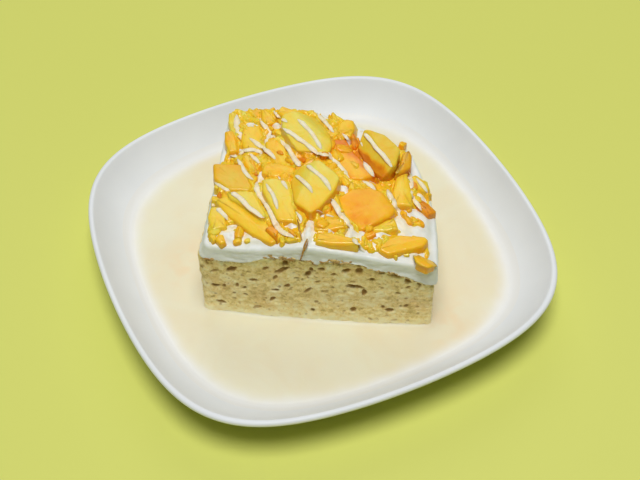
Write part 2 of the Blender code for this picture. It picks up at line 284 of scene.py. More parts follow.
# ------------------------------------------------------------------ materials
class Paint:
    """Builds a node material step by step."""

    def __init__(self, name):
        self.mat = bpy.data.materials.new(name)
        self.mat.use_nodes = True
        self.tree = self.mat.node_tree
        self.shader = self.tree.nodes["Principled BSDF"]

    def node(self, kind, **values):
        n = self.tree.nodes.new(kind)
        for key, value in values.items():
            setattr(n, key, value)
        return n

    def link(self, a, b):
        self.tree.links.new(a, b)

    def place(self):
        if not hasattr(self, "_place"):
            self._place = self.node("ShaderNodeTexCoord").outputs["Object"]
        return self._place

    def attribute(self, name):
        return self.node("ShaderNodeAttribute", attribute_name=name).outputs["Fac"]

    def noise(self, scale, detail=3.0, rough=0.5, stretch=None, turn=0.0, distortion=0.0):
        n = self.node("ShaderNodeTexNoise")
        n.inputs["Scale"].default_value = scale
        n.inputs["Detail"].default_value = detail
        n.inputs["Roughness"].default_value = rough
        n.inputs["Distortion"].default_value = distortion
        source = self.place()
        if stretch or turn:
            m = self.node("ShaderNodeMapping")
            m.inputs["Scale"].default_value = stretch or (1, 1, 1)
            m.inputs["Rotation"].default_value = (0, 0, turn)
            self.link(source, m.inputs["Vector"])
            source = m.outputs["Vector"]
        self.link(source, n.inputs["Vector"])
        return n.outputs["Fac"]

    def cells(self, scale, feature="F1", smoothness=None, randomness=1.0):
        n = self.node("ShaderNodeTexVoronoi", feature=feature)
        n.inputs["Scale"].default_value = scale
        n.inputs["Randomness"].default_value = randomness
        if smoothness is not None:
            n.inputs["Smoothness"].default_value = smoothness
        self.link(self.place(), n.inputs["Vector"])
        return n.outputs["Distance"]

    def math(self, op, a, b=0.0, clamp=False):
        n = self.node("ShaderNodeMath", operation=op, use_clamp=clamp)
        for socket, value in zip(n.inputs, (a, b)):
            if isinstance(value, (int, float)):
                socket.default_value = value
            else:
                self.link(value, socket)
        return n.outputs[0]

    def span(self, value, low, high, to_low=0.0, to_high=1.0):
        n = self.node("ShaderNodeMapRange", interpolation_type="SMOOTHSTEP")
        n.inputs["From Min"].default_value = low
        n.inputs["From Max"].default_value = high
        n.inputs["To Min"].default_value = to_low
        n.inputs["To Max"].default_value = to_high
        self.link(value, n.inputs["Value"])
        return n.outputs["Result"]

    def ramp(self, value, stops):
        n = self.node("ShaderNodeValToRGB")
        e = n.color_ramp.elements
        while len(e) < len(stops):
            e.new(0.5)
        for item, (at, colour) in zip(e, stops):
            item.position = at
            item.color = (*colour, 1.0)
        self.link(value, n.inputs["Fac"])
        return n.outputs["Color"]

    def mix(self, share, a, b, blend="MIX"):
        n = self.node("ShaderNodeMix", data_type="RGBA", blend_type=blend)
        for key, value in ((0, share), (6, a), (7, b)):
            socket = n.inputs[key]
            if isinstance(value, (int, float)):
                socket.default_value = value
            elif isinstance(value, tuple):
                socket.default_value = (*value, 1.0)
            else:
                self.link(value, socket)
        return n.outputs[2]

    def bumps(self, *layers):
        """Layers of (height, distance in mm, strength), the coarsest first."""
        normal = None
        for height, distance, strength in layers:
            n = self.node("ShaderNodeBump")
            n.inputs["Distance"].default_value = distance * MM
            n.inputs["Strength"].default_value = strength
            self.link(height, n.inputs["Height"])
            if normal is not None:
                self.link(normal, n.inputs["Normal"])
            normal = n.outputs["Normal"]
        self.link(normal, self.shader.inputs["Normal"])

    def set(self, **values):
        for key, value in values.items():
            socket = self.shader.inputs[key.replace("_", " ")]
            if isinstance(value, (int, float)):
                socket.default_value = value
            elif isinstance(value, tuple):
                socket.default_value = value if len(value) == 3 and socket.type == "VECTOR" else (*value, 1.0)
            else:
                self.link(value, socket)
        return self

    def soft(self, weight, scale, radius):
        """Light that spreads under the surface: scale in mm."""
        self.shader.inputs["Subsurface Weight"].default_value = weight
        self.shader.inputs["Subsurface Scale"].default_value = scale * MM
        self.shader.inputs["Subsurface Radius"].default_value = radius


def srgb(r, g, b):
    """A colour as a picture shows it, from 0 to 255, made linear."""
    out = []
    for c in (r, g, b):
        c = c / 255
        out.append(c / 12.92 if c <= 0.04045 else ((c + 0.055) / 1.055) ** 2.4)
    return tuple(out)


def porcelain_paint():
    p = Paint("porcelain_glaze")
    wide = p.noise(28, 3, 0.55)
    fine = p.noise(900, 2, 0.5)
    colour = p.mix(p.span(wide, 0.35, 0.7), (0.77, 0.80, 0.82), (0.805, 0.835, 0.855))
    height = p.attribute("bare")
    colour = p.mix(height, colour, (0.70, 0.68, 0.63))
    p.set(Base_Color=colour)
    rough = p.span(p.noise(60, 4, 0.6), 0.3, 0.75, 0.48, 0.56)
    rough = p.math("ADD", rough, p.math("MULTIPLY", height, 0.4))
    p.set(Roughness=rough)
    p.set(Specular_IOR_Level=0.4, IOR=1.5, Coat_Weight=0.05, Coat_Roughness=0.30)
    p.bumps((wide, 1.2, 0.06), (fine, 0.05, 0.05))
    return p.mat


def milk_paint():
    p = Paint("pool_of_milk")
    tint = p.attribute("tint")
    film = p.attribute("film")
    cloud = p.noise(34, 4, 0.55, distortion=0.6)
    body = p.mix(p.span(cloud, 0.35, 0.68), (0.775, 0.745, 0.56), (0.765, 0.705, 0.505))
    body = p.mix(tint, body, (0.80, 0.62, 0.38))
    flecks = p.span(p.cells(420), 0.06, 0.16, 1.0, 0.0)
    body = p.mix(p.math("MULTIPLY", flecks, 0.18), body, (0.84, 0.81, 0.70))
    colour = p.mix(film, body, (0.80, 0.81, 0.80))
    p.set(Base_Color=colour)
    p.set(Roughness=p.span(cloud, 0.3, 0.7, 0.34, 0.44), IOR=1.34)
    p.soft(0.0, 2.0, (1.0, 0.75, 0.45))
    p.set(Subsurface_Weight=p.math("MULTIPLY", p.span(film, 0.0, 0.5, 1.0, 0.0), 0.25))
    p.bumps((p.noise(160, 3, 0.5), 0.12, 0.10), (p.noise(1400, 2, 0.5), 0.02, 0.05))
    return p.mat


def sponge_paint():
    p = Paint("soaked_sponge")
    hole_shade_and_crumb_tone, low = p.attribute("hole_shade_and_crumb_tone"), p.attribute("low")
    broad = p.noise(150, 4, 0.6)
    crumb = p.noise(900, 4, 0.65)
    grain = p.cells(1500)
    stops = [
        (0.0, srgb(202, 180, 103)),
        (0.4, srgb(246, 223, 148)),
        (0.75, srgb(254, 240, 178)),
        (1.0, srgb(255, 247, 198)),
    ]
    middle = p.noise(380, 3, 0.6)
    tone = p.math("ADD", p.math("MULTIPLY", broad, 0.45), p.math("MULTIPLY", crumb, 0.30))
    tone = p.math("ADD", p.math("MULTIPLY", middle, 0.45), tone)
    # lighter towards the wet foot: partly the milk soaked into it, partly painted bounce light from the milk
    tone = p.math("ADD", tone, p.math("MULTIPLY", low, 0.14))
    colour = p.ramp(p.span(tone, 0.40, 0.80), stops)
    colour = p.mix(p.math("MULTIPLY", p.span(p.noise(85, 2, 0.5), 0.5, 0.7), 0.35), colour, srgb(232, 190, 108))
    # painted shade: the insides of the holes are painted a darker brown; the crumbs use the same attribute for a darker
    # tone of their own
    colour = p.mix(p.span(hole_shade_and_crumb_tone, 0.0, 1.0), colour, srgb(166, 128, 62))
    p.set(Base_Color=colour)
    p.set(Roughness=p.span(low, 0.0, 1.0, 0.75, 0.42))
    p.soft(0.10, 1.2, (1.0, 0.70, 0.35))
    p.bumps((broad, 1.0, 0.25), (middle, 0.7, 0.4), (crumb, 0.45, 0.5), (grain, 0.3, 0.35))
    return p.mat


def cream_paint():
    p = Paint("whipped_cream")
    wet = p.attribute("stain")
    broad = p.noise(120, 4, 0.6)
    streak = p.noise(300, 4, 0.55, stretch=(0.3, 1.0, 1.2), turn=-CAKE_YAW)
    pores = p.span(p.cells(1100), 0.05, 0.22, 0.0, 1.0)
    colour = p.mix(p.span(broad, 0.3, 0.7), (0.75, 0.785, 0.735), (0.83, 0.855, 0.82))
    colour = p.mix(wet, colour, (0.86, 0.74, 0.42))
    p.set(Base_Color=colour, Roughness=p.span(streak, 0.3, 0.7, 0.34, 0.52))
    p.soft(0.25, 1.2, (1.0, 0.9, 0.75))
    p.bumps((broad, 0.8, 0.3), (streak, 0.4, 0.35), (pores, 0.12, 0.35))
    return p.mat


MANGO_STOPS = [
    (0.0, (0.83, 0.70, 0.11)),
    (0.3, (0.92, 0.63, 0.04)),
    (0.6, (0.98, 0.52, 0.014)),
    (0.85, (0.95, 0.38, 0.007)),
    (1.0, (0.80, 0.23, 0.004)),
]


def mango_paint(name="mango_flesh"):
    p = Paint(name)
    tone, seed = p.attribute("tone"), p.attribute("seed")
    fibre = p.noise(420, 4, 0.6, stretch=(1.0, 0.16, 0.7), turn=0.5)
    cloud = p.noise(170, 3, 0.55)
    band = p.noise(110, 3, 0.5, stretch=(1.0, 0.35, 1.0), turn=0.35)
    mixed = p.math("ADD", tone, p.math("MULTIPLY", p.math("SUBTRACT", cloud, 0.5), 0.55))
    mixed = p.math("ADD", mixed, p.math("MULTIPLY", p.math("SUBTRACT", band, 0.5), 0.55))
    mixed = p.math("ADD", mixed, p.math("MULTIPLY", p.math("SUBTRACT", fibre, 0.5), 0.28))
    mixed = p.math("ADD", mixed, p.math("MULTIPLY", p.math("SUBTRACT", seed, 0.5), 0.06))
    colour = p.ramp(mixed, MANGO_STOPS)
    # painted shade: the colour is multiplied darker on shaded pieces, on their lower sides and at the foot of the tall
    # piece
    colour = p.mix(p.attribute("shade_and_juice_dim"), colour, p.mix(1.0, colour, (0.50, 0.46, 0.25), "MULTIPLY"))
    p.set(Base_Color=colour)
    p.set(Roughness=p.span(band, 0.3, 0.7, 0.30, 0.52), IOR=1.36)
    p.set(Coat_Weight=0.30, Coat_Roughness=0.10)
    p.soft(0.45, 3.0, (1.0, 0.42, 0.08))
    p.bumps((cloud, 0.5, 0.3), (fibre, 0.25, 0.4), (p.noise(2200, 2, 0.5), 0.05, 0.25))
    return p.mat


def puree_paint():
    p = Paint("mango_puree")
    tone = p.attribute("tone")
    cloud = p.noise(260, 4, 0.6)
    pulp = p.cells(750, "SMOOTH_F1", 0.6)
    mixed = p.math("ADD", tone, p.math("MULTIPLY", p.math("SUBTRACT", cloud, 0.5), 0.5))
    p.set(Base_Color=p.ramp(mixed, MANGO_STOPS))
    p.set(Roughness=p.span(cloud, 0.3, 0.7, 0.24, 0.36), IOR=1.37)
    p.set(Coat_Weight=0.35, Coat_Roughness=0.10)
    p.soft(0.5, 2.2, (1.0, 0.45, 0.08))
    p.bumps((cloud, 0.5, 0.35), (pulp, 0.35, 0.4))
    return p.mat


def drizzle_paint():
    p = Paint("cream_drizzle")
    cloud = p.noise(300, 3, 0.5)
    colour = p.mix(p.span(cloud, 0.3, 0.7), (0.90, 0.74, 0.48), (0.92, 0.82, 0.62))
    p.set(Base_Color=colour, Roughness=p.span(cloud, 0.3, 0.7, 0.22, 0.34), IOR=1.42)
    p.soft(0.45, 1.2, (1.0, 0.7, 0.45))
    p.bumps((cloud, 0.3, 0.3), (p.noise(1500, 2, 0.5), 0.05, 0.2))
    return p.mat


def strand_paint():
    p = Paint("golden_strand")
    along = p.noise(420, 3, 0.5)
    colour = p.ramp(along, [(0.25, srgb(122, 72, 18)), (0.5, srgb(176, 128, 44)), (0.8, srgb(205, 170, 96))])
    p.set(Base_Color=colour, Roughness=p.span(along, 0.3, 0.7, 0.35, 0.5))
    p.soft(0.2, 0.5, (1.0, 0.5, 0.2))
    p.bumps((along, 0.1, 0.4))
    return p.mat


def floor_paint():
    p = Paint("plain_floor")
    wide, fine = p.noise(1.5, 2, 0.5), p.noise(700, 3, 0.6)
    colour = p.mix(p.span(wide, 0.3, 0.7), srgb(212, 216, 110), srgb(214, 218, 116))
    p.set(Base_Color=colour, Roughness=p.span(fine, 0.3, 0.7, 0.78, 0.86))
    p.set(Specular_IOR_Level=0.2)
    p.bumps((fine, 0.05, 0.1))
    return p.mat


# ------------------------------------------------------------------ pieces
def build_plate():
    """The turned profile, finer than the CAD model's, with a soft lip and a bare foot."""
    inner = [(t * FLOOR_HALF, FLOOR_Z - 0.05 * math.cos(t * math.pi / 2)) for t in np.linspace(0.04, 0.97, 14)]
    inner += [(FLOOR_HALF + WALL_RUN * t**1.15, float(wall_z(FLOOR_HALF + WALL_RUN * t**1.15))) for t in np.linspace(0, 1, 34)]
    a0 = math.pi / 2 + LIP_SLOPE
    lip = [
        (LIP_X + LIP_RADIUS * math.cos(a), LIP_Y + LIP_RADIUS * math.sin(a))
        for a in np.linspace(a0, a0 - math.pi, 14)[1:-1]
    ]
    under = []
    for t in np.linspace(1, 0, 22):
        r = FLOOR_HALF + WALL_RUN * t**1.15
        slope = math.atan(float(wall_slope(r))) if t > 0 else 0.0
        thick = 3.8 + (2 * LIP_RADIUS - 3.8) * (r - FLOOR_HALF) / WALL_RUN
        under.append((r + thick * math.sin(slope), max(float(wall_z(r)) - thick * math.cos(slope), FLOOR_UNDER_Z)))
    foot = [(FOOT_OUT + 0.9, FLOOR_UNDER_Z), (FOOT_OUT, FLOOR_UNDER_Z - 0.12)]
    foot += [(FOOT_OUT - 0.45, 0.95), (FOOT_OUT - 0.85, 0.45), (FOOT_OUT - 1.2, 0.12), (FOOT_OUT - 1.6, 0.0)]
    foot += [(0.5 * (FOOT_OUT + FOOT_IN), 0.0), (FOOT_IN + 0.9, 0.0), (FOOT_IN + 0.5, 0.12)]
    foot += [(FOOT_IN + 0.2, 0.45), (FOOT_IN - 0.1, 0.95), (FOOT_IN - 0.6, FLOOR_UNDER_Z - 0.1), (FOOT_IN - 1.5, FLOOR_UNDER_Z)]
    foot += [(FOOT_IN * t, FLOOR_UNDER_Z) for t in (0.85, 0.6, 0.35, 0.1)]
    profile = np.array(inner + lip + under + foot)
    n = 320
    angle = np.arange(n) * 2 * math.pi / n
    k = squircle(angle[None, :], profile[:, :1])
    wave = 1 + 0.0006 * np.cos(3 * angle + 0.7)[None, :] * smooth(70, 95, profile[:, :1])
    x = profile[:, :1] * k * wave * np.cos(angle)
    y = profile[:, :1] * k * wave * np.sin(angle)
    z = np.broadcast_to(profile[:, 1:], x.shape).copy()
    bare = (z < 0.2) * (profile[:, :1] < FOOT_OUT) * np.ones_like(z)
    rings = np.stack([x, y, z], -1)[::-1]
    return skin("plate_glazed", rings, (0, 0, FLOOR_UNDER_Z), (0, 0, FLOOR_Z - 0.05), {"bare": bare[::-1]})


def sponge_outline(step_front, step_rest):
    u, v = rounded_square(step_front, step_rest)
    x, y = plan(u, v)
    length = np.hypot(np.roll(x, -1) - x, np.roll(y, -1) - y)
    along = np.concatenate([[0], np.cumsum(length)[:-1]]) + CORNER_ROUND
    return u, v, x, y, along


# Holes that stand out in the cut front: along the front, height, half length, half
# height, turn in degrees, depth (mm).
HOLES = [
    (13.2, 36.8, 3.1, 1.25, 38, 2.2), (6.0, 35.0, 2.2, 0.8, 20, 0.8),
    (22.0, 31.6, 2.6, 0.85, 8, 1.3), (27.6, 39.3, 1.9, 0.75, 25, 1.4),
    (35.9, 44.1, 1.5, 1.2, 0, 2.2), (34.4, 39.5, 4.5, 1.15, 36, 1.8),
    (31.4, 34.6, 2.1, 1.0, 75, 1.2), (44.9, 38.2, 2.4, 1.4, 62, 2.4),
    (46.6, 41.2, 1.6, 1.0, 80, 1.5), (50.4, 42.0, 1.8, 1.0, 0, 1.9),
    (55.6, 39.1, 1.4, 0.9, 30, 1.2), (60.8, 42.0, 2.1, 1.25, 25, 2.6),
    (65.9, 42.3, 2.4, 1.6, 60, 2.4), (53.2, 46.6, 1.1, 0.8, 0, 1.2),
    (58.1, 46.6, 0.9, 0.7, 0, 1.1), (71.1, 37.2, 1.15, 0.95, 0, 1.7),
    (80.6, 40.2, 3.4, 0.9, -14, 1.8), (85.8, 37.0, 1.9, 1.2, -48, 2.2),
    (86.0, 33.1, 1.2, 0.7, 10, 1.1), (64.4, 32.1, 4.3, 1.25, -3, 2.6),
    (68.0, 28.6, 2.6, 0.95, 82, 1.6), (36.3, 29.8, 1.7, 0.95, 35, 1.5),
    (31.2, 26.6, 1.8, 0.75, 0, 1.3), (44.6, 27.6, 2.2, 0.95, 48, 1.2),
    (15.2, 27.2, 1.7, 0.75, 85, 1.3), (18.2, 25.8, 1.4, 0.85, 40, 1.3),
    (5.6, 25.5, 2.1, 0.95, 10, 1.5), (9.2, 25.6, 1.1, 0.7, 80, 1.2),
    (29.8, 20.3, 1.8, 0.9, 50, 1.5), (13.3, 22.2, 1.0, 0.75, 0, 0.9),
    (18.0, 21.4, 1.5, 0.7, -20, 1.1), (22.8, 14.3, 2.1, 0.8, 10, 0.9),
    (7.0, 14.7, 2.7, 1.1, -12, 1.3), (46.7, 15.0, 1.35, 1.15, 20, 1.6),
    (48.1, 21.0, 1.3, 0.9, 0, 0.9), (51.0, 28.0, 1.1, 0.7, 0, 0.8),
    (63.8, 17.2, 1.5, 1.5, 0, 1.7), (79.0, 17.8, 2.3, 1.2, -20, 2.0),
    (76.2, 19.9, 1.2, 0.8, 0, 1.3), (81.0, 11.3, 1.8, 0.8, 8, 0.8),
    (71.2, 11.6, 1.5, 0.9, 0, 0.8), (85.8, 21.0, 1.15, 1.0, 0, 1.2),
    (82.3, 29.5, 1.3, 0.7, 0, 0.9), (90.5, 35.2, 1.6, 0.7, -30, 1.3),
    (40.0, 35.5, 1.3, 0.6, 20, 0.9), (49.0, 34.1, 1.3, 0.7, 0, 0.9),
    (75.5, 41.7, 1.7, 0.7, -8, 1.3), (3.0, 39.0, 1.2, 0.6, 10, 0.7),
]


def random_holes(rng, total):
    """More holes for the whole skirt: larger and closer together towards the top."""
    rows = []
    while len(rows) < 2300:
        s, z = rng.uniform(0, total), rng.uniform(8.5, 46.5)
        high = (z - 8.5) / 38
        if rng.random() > 0.22 + 0.78 * high:
            continue
        size = 0.42 + 1.5 * rng.random() ** 3.2 * (0.35 + 0.65 * high)
        if s < FRONT_WIDTH:
            size = min(size, 0.95)
            if rng.random() < 0.62:
                continue
        flat = rng.uniform(0.55, 1.0)
        rows.append((s, z, size, size * flat, rng.normal(8, 34), size * rng.uniform(0.4, 0.8)))
    return rows


def build_sponge():
    """The soaked block: every side is torn crumb with holes, the foot is wet and smooth."""
    u, v, x, y, along = sponge_outline(0.40, 0.58)
    nx, ny = outward(x, y)
    rows = 96
    n = len(x)
    t = np.linspace(0, 1, rows)[:, None]
    top = seam_z(x, y)[None, :] + 0.9
    low = 5.55
    z = low + (top - low) * t
    s = np.broadcast_to(along[None, :], z.shape)
    total = along[-1] + 0.5
    # warped coordinates make the holes' outlines uneven
    ws = s + 0.55 * fbm(s / 2.4, z / 2.4, 3.0, 11, 2)
    wz = z + 0.45 * fbm(s / 2.1, z / 2.1, 7.0, 12, 2)
    rng = np.random.default_rng(5)
    hole_shade_and_crumb_tone = np.zeros(z.shape)
    depth = np.zeros(z.shape)
    for hs, hz, ha, hb, turn, deep in HOLES + random_holes(rng, total):
        c, q = math.cos(math.radians(turn)), math.sin(math.radians(turn))
        cols = np.nonzero(np.abs(along - hs) < ha + 1.4)[0]
        if len(cols) == 0:
            continue
        ds, dz = ws[:, cols] - hs, wz[:, cols] - hz
        a = (ds * c + dz * q) / ha
        b = (-ds * q + dz * c) / (1.15 * hb)
        inside = np.clip(1 - (a * a + b * b), 0, None)
        dent = 0.62 * deep * inside**0.7
        depth[:, cols] = np.maximum(depth[:, cols], dent)
        # painted shade: each hole paints its inside darker, more so the deeper it is
        hole_shade_and_crumb_tone[:, cols] = np.maximum(hole_shade_and_crumb_tone[:, cols], np.clip(inside * 1.5, 0, 1) * min(1.0, 0.35 + deep / 2.4))
    px, py = to_plate(x, y)
    bx = np.broadcast_to(px[None, :], z.shape)
    by = np.broadcast_to(py[None, :], z.shape)
    lump = 0.40 * fbm(bx / 7, by / 7, z / 7, 21, 3)
    crumb = 0.46 * fbm(bx / 2.3, by / 2.3, z / 1.7, 22, 3, 0.55)
    torn = 0.18 * np.abs(noise(bx / 1.0, by / 1.0, z / 0.8, 23))
    wet = 1 - smooth(8.0, 15.0, z + 1.6 * noise(bx / 9, by / 9, 0, 24))
    push = lump + (crumb - torn) * (1 - 0.75 * wet) + 0.55 * (1 - smooth(5.5, 11, z))
    push = push - depth * (1 - 0.5 * wet) + 0.8 * (nx * nx)[None, :]
    # the arris at the top goes in under the cream
    push = push - 0.5 * smooth(0.975, 1.0, t)
    rings = [with_z(x + nx * push[j], y + ny * push[j], z[j]) for j in range(rows)]
    centre_u, centre_v = 0.5, 0.5
    caps_low, caps_high = [], []
    for share in (0.5, 0.93):
        cu, cv = centre_u + (u - 0.5) * share, centre_v + (v - 0.5) * share
        cx, cy = plan(cu, cv)
        caps_low.append(with_z(cx, cy, 5.5))
        caps_high.append(with_z(cx, cy, seam_z(cx, cy) + 0.6))
    full = caps_low + rings + caps_high[::-1]
    zero = np.zeros(n)
    attributes = {
        "hole_shade_and_crumb_tone": np.array([zero, zero] + list(hole_shade_and_crumb_tone * (1 - 0.4 * wet)) + [zero, zero]),
        "low": np.array([zero + 1, zero + 1] + list(wet) + [zero, zero]),
    }
    cx, cy = plan(np.array([0.5]), np.array([0.5]))
    a = with_z(cx, cy, 5.5)[0]
    b = with_z(cx, cy, seam_z(cx, cy) + 0.6)[0]
    return skin("sponge_crumb", full, a, b, attributes)


def build_cream():
    """The slab of whipped cream: knifed sides, a ragged lower edge and a soft top."""
    u, v = rounded_square(0.55, 0.8, CORNER_ROUND + 0.6)
    x0, y0 = plan(u, v, 0.0, 0.0, True)
    n = len(u)
    low_edge = seam_z(x0, y0)
    low_edge = low_edge + 0.75 * fbm(x0 / 2.2, y0 / 2.2, 1.0, 41, 3) - 0.5
    rows, stain = [], []
    side_rows, round_rows, top_rows = 16, 6, 70
    edge = 1.7
    # under the lip
    for share, lift in ((0.6, 1.4), (0.955, 1.1), (0.99, 0.35)):
        cu, cv = 0.5 + (u - 0.5) * share, 0.5 + (v - 0.5) * share
        x, y = plan(cu, cv, 0.0, 0.0, True)
        rows.append(with_z(x, y, low_edge + lift))
        stain.append(np.zeros(n))
    top_edge = cream_z(x0, y0) + 0.35 * fbm(x0 / 5, y0 / 5, 2.0, 42, 2)
    for j in range(side_rows):
        h = j / (side_rows - 1)
        x, y = plan(u, v, h, 0.0, True)
        nx, ny = outward(x, y)
        z = low_edge + (top_edge - edge - low_edge) * h
        px, py = to_plate(x, y)
        drag = 0.32 * fbm(px / 9, py / 9, z / 1.8, 43, 3) + 0.22 * fbm(px / 2.6, py / 2.6, z / 1.6, 44, 2)
        lip = 0.45 - 0.75 * np.exp(-((h / 0.07) ** 2)) + 0.35 * bump(h, 0.18, 0.13)
        push = lip + drag
        rows.append(with_z(x + nx * push, y + ny * push, z))
        stain.append(np.zeros(n))
    base_x, base_y = plan(u, v, 1.0, 0.0, True)
    nx, ny = outward(base_x, base_y)
    px, py = to_plate(base_x, base_y)
    drag = 0.32 * fbm(px / 9, py / 9, (top_edge - edge) / 1.8, 43, 3)
    drag = drag + 0.22 * fbm(px / 2.6, py / 2.6, (top_edge - edge) / 1.6, 44, 2) + 0.45
    for j in range(1, round_rows + 1):
        a = j / round_rows * math.pi / 2
        back = edge * (1 - math.cos(a))
        x, y = base_x + nx * (drag - back), base_y + ny * (drag - back)
        rows.append(with_z(x, y, top_edge - edge + edge * math.sin(a)))
        stain.append(np.zeros(n))
    inset_x, inset_y = base_x + nx * (drag - edge), base_y + ny * (drag - edge)
    mid_x, mid_y = plan(np.array([0.5]), np.array([0.5]), 1.0, 0.0, True)
    for j in range(1, top_rows):
        share = 1 - j / top_rows
        x = mid_x + (inset_x - mid_x) * share
        y = mid_y + (inset_y - mid_y) * share
        away = smooth(1.0, 0.93, share)
        z = cream_z(x, y) + 0.55 * fbm(x / 6, y / 6, 5.0, 45, 3) * away
        z = z + dollops(x, y) * away * (1 + 0.25 * fbm(x / 1.8, y / 1.8, 6.0, 47, 2))
        z = z + (1 - away) * (top_edge - cream_z(inset_x, inset_y))
        rows.append(with_z(x, y, z))
        stain.append((0.10 + 0.5 * smooth(-0.2, 0.5, fbm(x / 4, y / 4, 9.0, 46, 3))) * away)
    mz = cream_z(mid_x, mid_y)
    low = with_z(mid_x, mid_y, seam_z(mid_x, mid_y) + 1.2)[0]
    return skin("cream_whipped", rows, low, with_z(mid_x, mid_y, mz)[0], {"stain": np.array(stain)})


def build_milk():
    """The pool: level, with a curl at the cake and at the wall, thinning to a film there."""
    n = 560
    mid = np.array(to_plate(*plan(0.5, 0.5)))
    u, v = rounded_square(0.5, 0.5)
    ox, oy = to_plate(*plan(u, v, 0.0, -1.2))
    angle = np.arange(n) * 2 * math.pi / n
    reach_a = np.arctan2(oy - mid[1], ox - mid[0])
    order = np.argsort(reach_a)
    reach = np.hypot(ox - mid[0], oy - mid[1])[order]
    reach_a = reach_a[order]
    wrapped = (angle + math.pi) % (2 * math.pi) - math.pi
    inner = np.interp(wrapped, reach_a, reach, period=2 * math.pi)
    film_half = MILK_HALF + 2.6
    e = np.arange(4000) * 2 * math.pi / 4000
    er = film_half * squircle(e, np.full(4000, film_half))
    wander = 1 + 0.012 * fbm(np.cos(e) * 2.2, np.sin(e) * 2.2, 0.0, 61, 3)
    ex, ey = er * wander * np.cos(e), er * wander * np.sin(e)
    outer_a = np.arctan2(ey - mid[1], ex - mid[0])
    order = np.argsort(outer_a)
    outer = np.interp(wrapped, outer_a[order], np.hypot(ex - mid[0], ey - mid[1])[order], period=2 * math.pi)
    # closer together at both edges
    t = np.linspace(0, 1, 70)
    t = np.sort(np.append(0.5 - 0.5 * np.cos(math.pi * t), (0.0006, 0.9994)))
    top_rows, tint, film = [], [], []
    dx, dy = np.cos(angle), np.sin(angle)
    for share in t:
        r = inner + (outer - inner) * share
        px, py = mid[0] + dx * r, mid[1] + dy * r
        profile = profile_radius(px, py)
        ground = wall_z(profile)
        from_cake = r - inner - 1.2
        level = MILK_Z + 1.1 * np.exp(-np.clip(from_cake, 0, None) / 1.1) * (from_cake > -5)
        level = level + 0.045 * fbm(px / 16, py / 16, 0.0, 62, 2)
        over = profile - MILK_HALF
        thin = 0.35 * np.exp(-np.clip(over + 1.0, 0, None) / 0.9)
        edge = np.clip((film_half * 0.992 - profile) / 2.0, 0.0, 1.0)
        z = np.maximum(level, ground + thin * edge + 0.02)
        top_rows.append(np.stack([px, py, z], -1))
        cover = MILK_Z - ground
        film.append(1 - smooth(-0.3, 2.9, cover + 0.35 * fbm(px / 7, py / 7, 0, 63, 3)))
        cx, cy = to_cake(px, py)
        blot = 0.55 * bump(np.hypot(cx + 14, (cy - 26) / 1.9), 0, 7.0) * smooth(-0.35, 0.3, fbm(px / 6, py / 6, 0, 64, 3))
        blot = blot + 0.5 * bump(np.hypot((cx - 104) / 1.2, (cy - 3) / 1.6), 0, 8.0) * smooth(-0.3, 0.4, fbm(px / 6, py / 6, 4, 65, 3))
        right = 0.15 * smooth(60, 120, cx) * (1 - smooth(20, 60, cy))
        tint.append(np.clip(blot + right + 0.12 * fbm(px / 18, py / 18, 2, 66, 3), 0, 1))
    low_rows = []
    for share in t:
        r = inner + (outer - inner) * share
        px, py = mid[0] + dx * r, mid[1] + dy * r
        low_rows.append(np.stack([px, py, wall_z(profile_radius(px, py)) + 0.012], -1))
    # a closed ring: underside outwards, then the top inwards
    ring = low_rows + top_rows[::-1]
    rows = len(ring)
    i = np.arange(n)
    k = (i + 1) % n
    quads = []
    for r in range(rows):
        a, b = r * n, ((r + 1) % rows) * n
        quads.append(np.stack([a + k, a + i, b + i, b + k], 1))
    points = np.concatenate([np.asarray(q).reshape(-1, 3) for q in ring])
    zero = [np.zeros(n)] * len(t)
    attributes = {
        "tint": np.concatenate(zero + tint[::-1]),
        "film": np.concatenate(zero + film[::-1]),
    }
    return make_object("milk_pool", points, np.concatenate(quads).tolist(), attributes)


